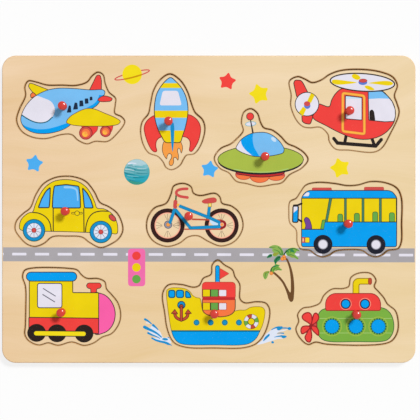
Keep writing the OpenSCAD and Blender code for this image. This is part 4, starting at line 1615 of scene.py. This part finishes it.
def neck_x(z):
    """Radius of the hollow neck at a height."""
    return WAIST_R + NECK_R - math.sqrt(NECK_R ** 2 - (z - neck_mid) ** 2)


def crown_z(x):
    """Height of the crown at a radius."""
    return PEG_TOP - CROWN_R + math.sqrt(CROWN_R ** 2 - x ** 2)


PROFILE = {
    "Shank Middle": (0, SHANK_END),
    "Shank Foot": (SHANK_R - SHANK_LEAD, SHANK_END),
    "Shank Side": (SHANK_R, SHANK_END + SHANK_LEAD),
    "Shank Top": (SHANK_R, 0),
    "Collar Under": (COLLAR_R - COLLAR_T / 2, 0),
    "Collar Edge": (COLLAR_R, COLLAR_T / 2),
    "Collar Over": (neck_x(COLLAR_T), COLLAR_T),
    "Waist": (WAIST_R, neck_mid),
    "Neck Top": (neck_x(neck_top), neck_top),
    "Rim": (HEAD_R, rim_z),
    "Crown Edge": (meet_x, crown_z(meet_x)),
    "Crown Side": (meet_x / 2, crown_z(meet_x / 2)),
    "Crown Top": (0, PEG_TOP),
}
STRAIGHT_STEPS = 4
stations = list(PROFILE)
LINES = [stations[i:i + 2] for i in range(STRAIGHT_STEPS)]
ARCS = [stations[i:i + 3] for i in range(STRAIGHT_STEPS, len(stations) - 2, 2)]
print("peg stands %.1f mm above the face, head %.1f mm across" % (PEG_TOP, 2 * HEAD_R))

# %% Lathe tree
ARC_STEPS = 12
AXIS_R = 1e-7
WELD = 0.004 * MM


def make_lathe():
    """Geometry Nodes tree that spins the profile into one peg on its seat."""
    tree = bpy.data.node_groups.new("turned_peg", "GeometryNodeTree")
    sockets = [(point, "NodeSocketVector") for point in [*PROFILE, "Seat"]]
    sockets += [("Facets", "NodeSocketInt"), ("Plastic", "NodeSocketMaterial")]
    for socket, kind in sockets:
        tree.interface.new_socket(socket, in_out="INPUT", socket_type=kind)
    tree.interface.new_socket("Geometry", in_out="OUTPUT", socket_type="NodeSocketGeometry")
    given = tree.nodes.new("NodeGroupInput").outputs
    profile = tree.nodes.new("GeometryNodeJoinGeometry")
    for start, end in LINES:
        line = node(tree, "GeometryNodeCurvePrimitiveLine", [("Start", given[start]), ("End", given[end])])
        tree.links.new(line.outputs["Curve"], profile.inputs[0])
    for start, mid, end in ARCS:
        points = [("Start", given[start]), ("Middle", given[mid]), ("End", given[end])]
        arc = node(tree, "GeometryNodeCurveArc", points + [("Resolution", ARC_STEPS)], mode="POINTS")
        tree.links.new(arc.outputs["Curve"], profile.inputs[0])
    axis = node(tree, "GeometryNodeCurvePrimitiveCircle",
                [("Resolution", given["Facets"]), ("Radius", AXIS_R)])
    links = [("Curve", axis.outputs["Curve"]), ("Profile Curve", profile.outputs[0])]
    peg = node(tree, "GeometryNodeCurveToMesh", links)
    for kind, links in (
        ("GeometryNodeMergeByDistance", [("Distance", WELD)]),
        ("GeometryNodeSetShadeSmooth", [("Shade Smooth", True)]),
        ("GeometryNodeTransform", [("Translation", given["Seat"])]),
        ("GeometryNodeRealizeInstances", []),
        ("GeometryNodeSetMaterial", [("Material", given["Plastic"])]),
    ):
        peg = node(tree, kind, [("Geometry", peg.outputs[0])] + links)
    tree.links.new(peg.outputs[0], tree.nodes.new("NodeGroupOutput").inputs[0])
    return tree


LATHE = make_lathe()
LATHE_INPUTS = {s.name: s.identifier for s in LATHE.interface.items_tree if s.in_out == "INPUT"}
print("lathe inputs:", len(LATHE_INPUTS))

# %% [markdown]
# The sweep hangs the profile's second axis downwards, so each height goes in with its sign turned. The
# result of the tree is copied to a plain mesh for each body, its faces are made to point outwards, and
# the edges that the lathe leaves sharp are marked.

# %% Turn ten pegs
PEG_FACETS = 48
SHARP_ANGLE = math.radians(40)


def make_peg(name):
    """Peg of one figure, as a plain mesh on its seat."""
    host = new_object("lathe_host", bpy.data.meshes.new("lathe_host"))
    lathe = host.modifiers.new("lathe", "NODES")
    lathe.node_group = LATHE
    for point, (radius, height) in PROFILE.items():
        lathe[LATHE_INPUTS[point]] = (radius * MM, -height * MM, 0.0)
    x, y = PEG_AT[name]
    lathe[LATHE_INPUTS["Seat"]] = (x * MM, y * MM, FACE_Z)
    lathe[LATHE_INPUTS["Facets"]] = PEG_FACETS
    lathe[LATHE_INPUTS["Plastic"]] = PEG_PLASTIC
    spun = host.evaluated_get(bpy.context.evaluated_depsgraph_get())
    mesh = bpy.data.meshes.new_from_object(spun)
    bpy.data.objects.remove(host)
    bm = bmesh.new()
    bm.from_mesh(mesh)
    bmesh.ops.recalc_face_normals(bm, faces=bm.faces)
    bm.to_mesh(mesh)
    bm.free()
    mesh.name = name + "_pin"
    mesh.set_sharp_from_angle(angle=SHARP_ANGLE)
    peg = new_object(mesh.name, mesh)
    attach(peg, name)
    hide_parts(name + "_peg")
    return peg


for name in FIGURES:
    peg = make_peg(name)
print("pegs: %d of %d faces" % (len(FIGURES), len(peg.data.polygons)))

# %% [markdown]
# ## Studio
#
# The board is seen from straight above, from about a metre, which keeps the pegs almost upright. In a
# picture 420 wide it is 413.6 across and a little off the middle, and the lens follows from that. One
# broad lamp stands to the upper right, so that each peg throws a soft shadow to the lower left, and an
# even pale sky fills the rest. The floor looks white to the camera and still takes the board's shadow.

# %% Camera
PICTURE = 420
BOARD_ACROSS = 413.6
BOARD_AT = (208.8, 209.2)
EYE_HEIGHT = 0.95
board_w = back_high.x - back_low.x
across = board_w * PICTURE / BOARD_ACROSS
camera_data = bpy.data.cameras.new("eye")
camera_data.lens = camera_data.sensor_width * EYE_HEIGHT / across
camera = new_object("eye", camera_data)
aside = [across * (PICTURE / 2 - place) / PICTURE for place in BOARD_AT]
camera.location = (aside[0], -aside[1], FACE_Z + EYE_HEIGHT)
bpy.context.scene.camera = camera
bpy.context.scene.view_settings.view_transform = "Standard"
print("lens %.1f mm" % camera_data.lens)

# %% Lamp and sky
LAMP_TURN, LAMP_TILT = 45.0, 53.0
LAMP_POWER, LAMP_SPREAD = 2.33, 13
SKY_FILL = 0.42


def looked_at(tree):
    """One for what the camera sees, also in a mirror or through glass, and nothing for other light."""
    ways = node(tree, "ShaderNodeLightPath").outputs
    seen = calc(tree, ways["Is Camera Ray"], ways["Is Glossy Ray"], "MAXIMUM")
    return calc(tree, seen, ways["Is Transmission Ray"], "MAXIMUM")


lamp_data = bpy.data.lights.new("key_lamp", "SUN")
lamp_data.energy = LAMP_POWER
lamp_data.angle = math.radians(LAMP_SPREAD)
lamp = new_object("key_lamp", lamp_data)
lamp.rotation_euler = (0.0, math.radians(90 - LAMP_TILT), math.radians(LAMP_TURN))

world = bpy.data.worlds.new("studio")
world.use_nodes = True
bpy.context.scene.world = world
sky = world.node_tree
level = ranged(sky, looked_at(sky), 0.0, 1.0, SKY_FILL, 1.0)
feed(sky, sky.nodes["Background"], [("Color", WHITE), ("Strength", level)])
print("lamp %.2f, sky %.2f" % (LAMP_POWER, SKY_FILL))

# %% Floor
FLOOR_GAP = 0.05 * MM
FLOOR_GREY = (0.9, 0.9, 0.9, 1.0)


def make_floor(half=3.0, white_share=0.8):
    """Pale floor that is white to the camera and keeps a soft shadow."""
    made = bpy.data.materials.new("floor")
    made.use_nodes = True
    tree = made.node_tree
    tree.nodes.clear()
    share = times(tree, looked_at(tree), white_share)
    matt = node(tree, "ShaderNodeBsdfDiffuse", [("Color", FLOOR_GREY)])
    white = node(tree, "ShaderNodeEmission", [("Color", WHITE), ("Strength", 1.0)])
    both = node(tree, "ShaderNodeMixShader", [(0, share), (1, matt.outputs[0]), (2, white.outputs[0])])
    node(tree, "ShaderNodeOutputMaterial", [("Surface", both.outputs[0])])
    mesh = bpy.data.meshes.new("floor")
    corners = [(-half, -half, 0), (half, -half, 0), (half, half, 0), (-half, half, 0)]
    mesh.from_pydata(corners, [], [(0, 1, 2, 3)])
    mesh.materials.append(made)
    floor = new_object("floor", mesh)
    floor.location.z = back_low.z - FLOOR_GAP
    floor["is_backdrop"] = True


make_floor()

# %% [markdown]
# ## Check the size
#
# Dressing the pieces must not make the puzzle larger or smaller, so both boxes are written down.

# %% Sizes and finish
visual_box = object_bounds()
for label, (low, high) in (("packed", cad_box), ("dressed", visual_box)):
    print(label, "size in mm:", [round((h - l) / MM, 2) for l, h in zip(low, high)])
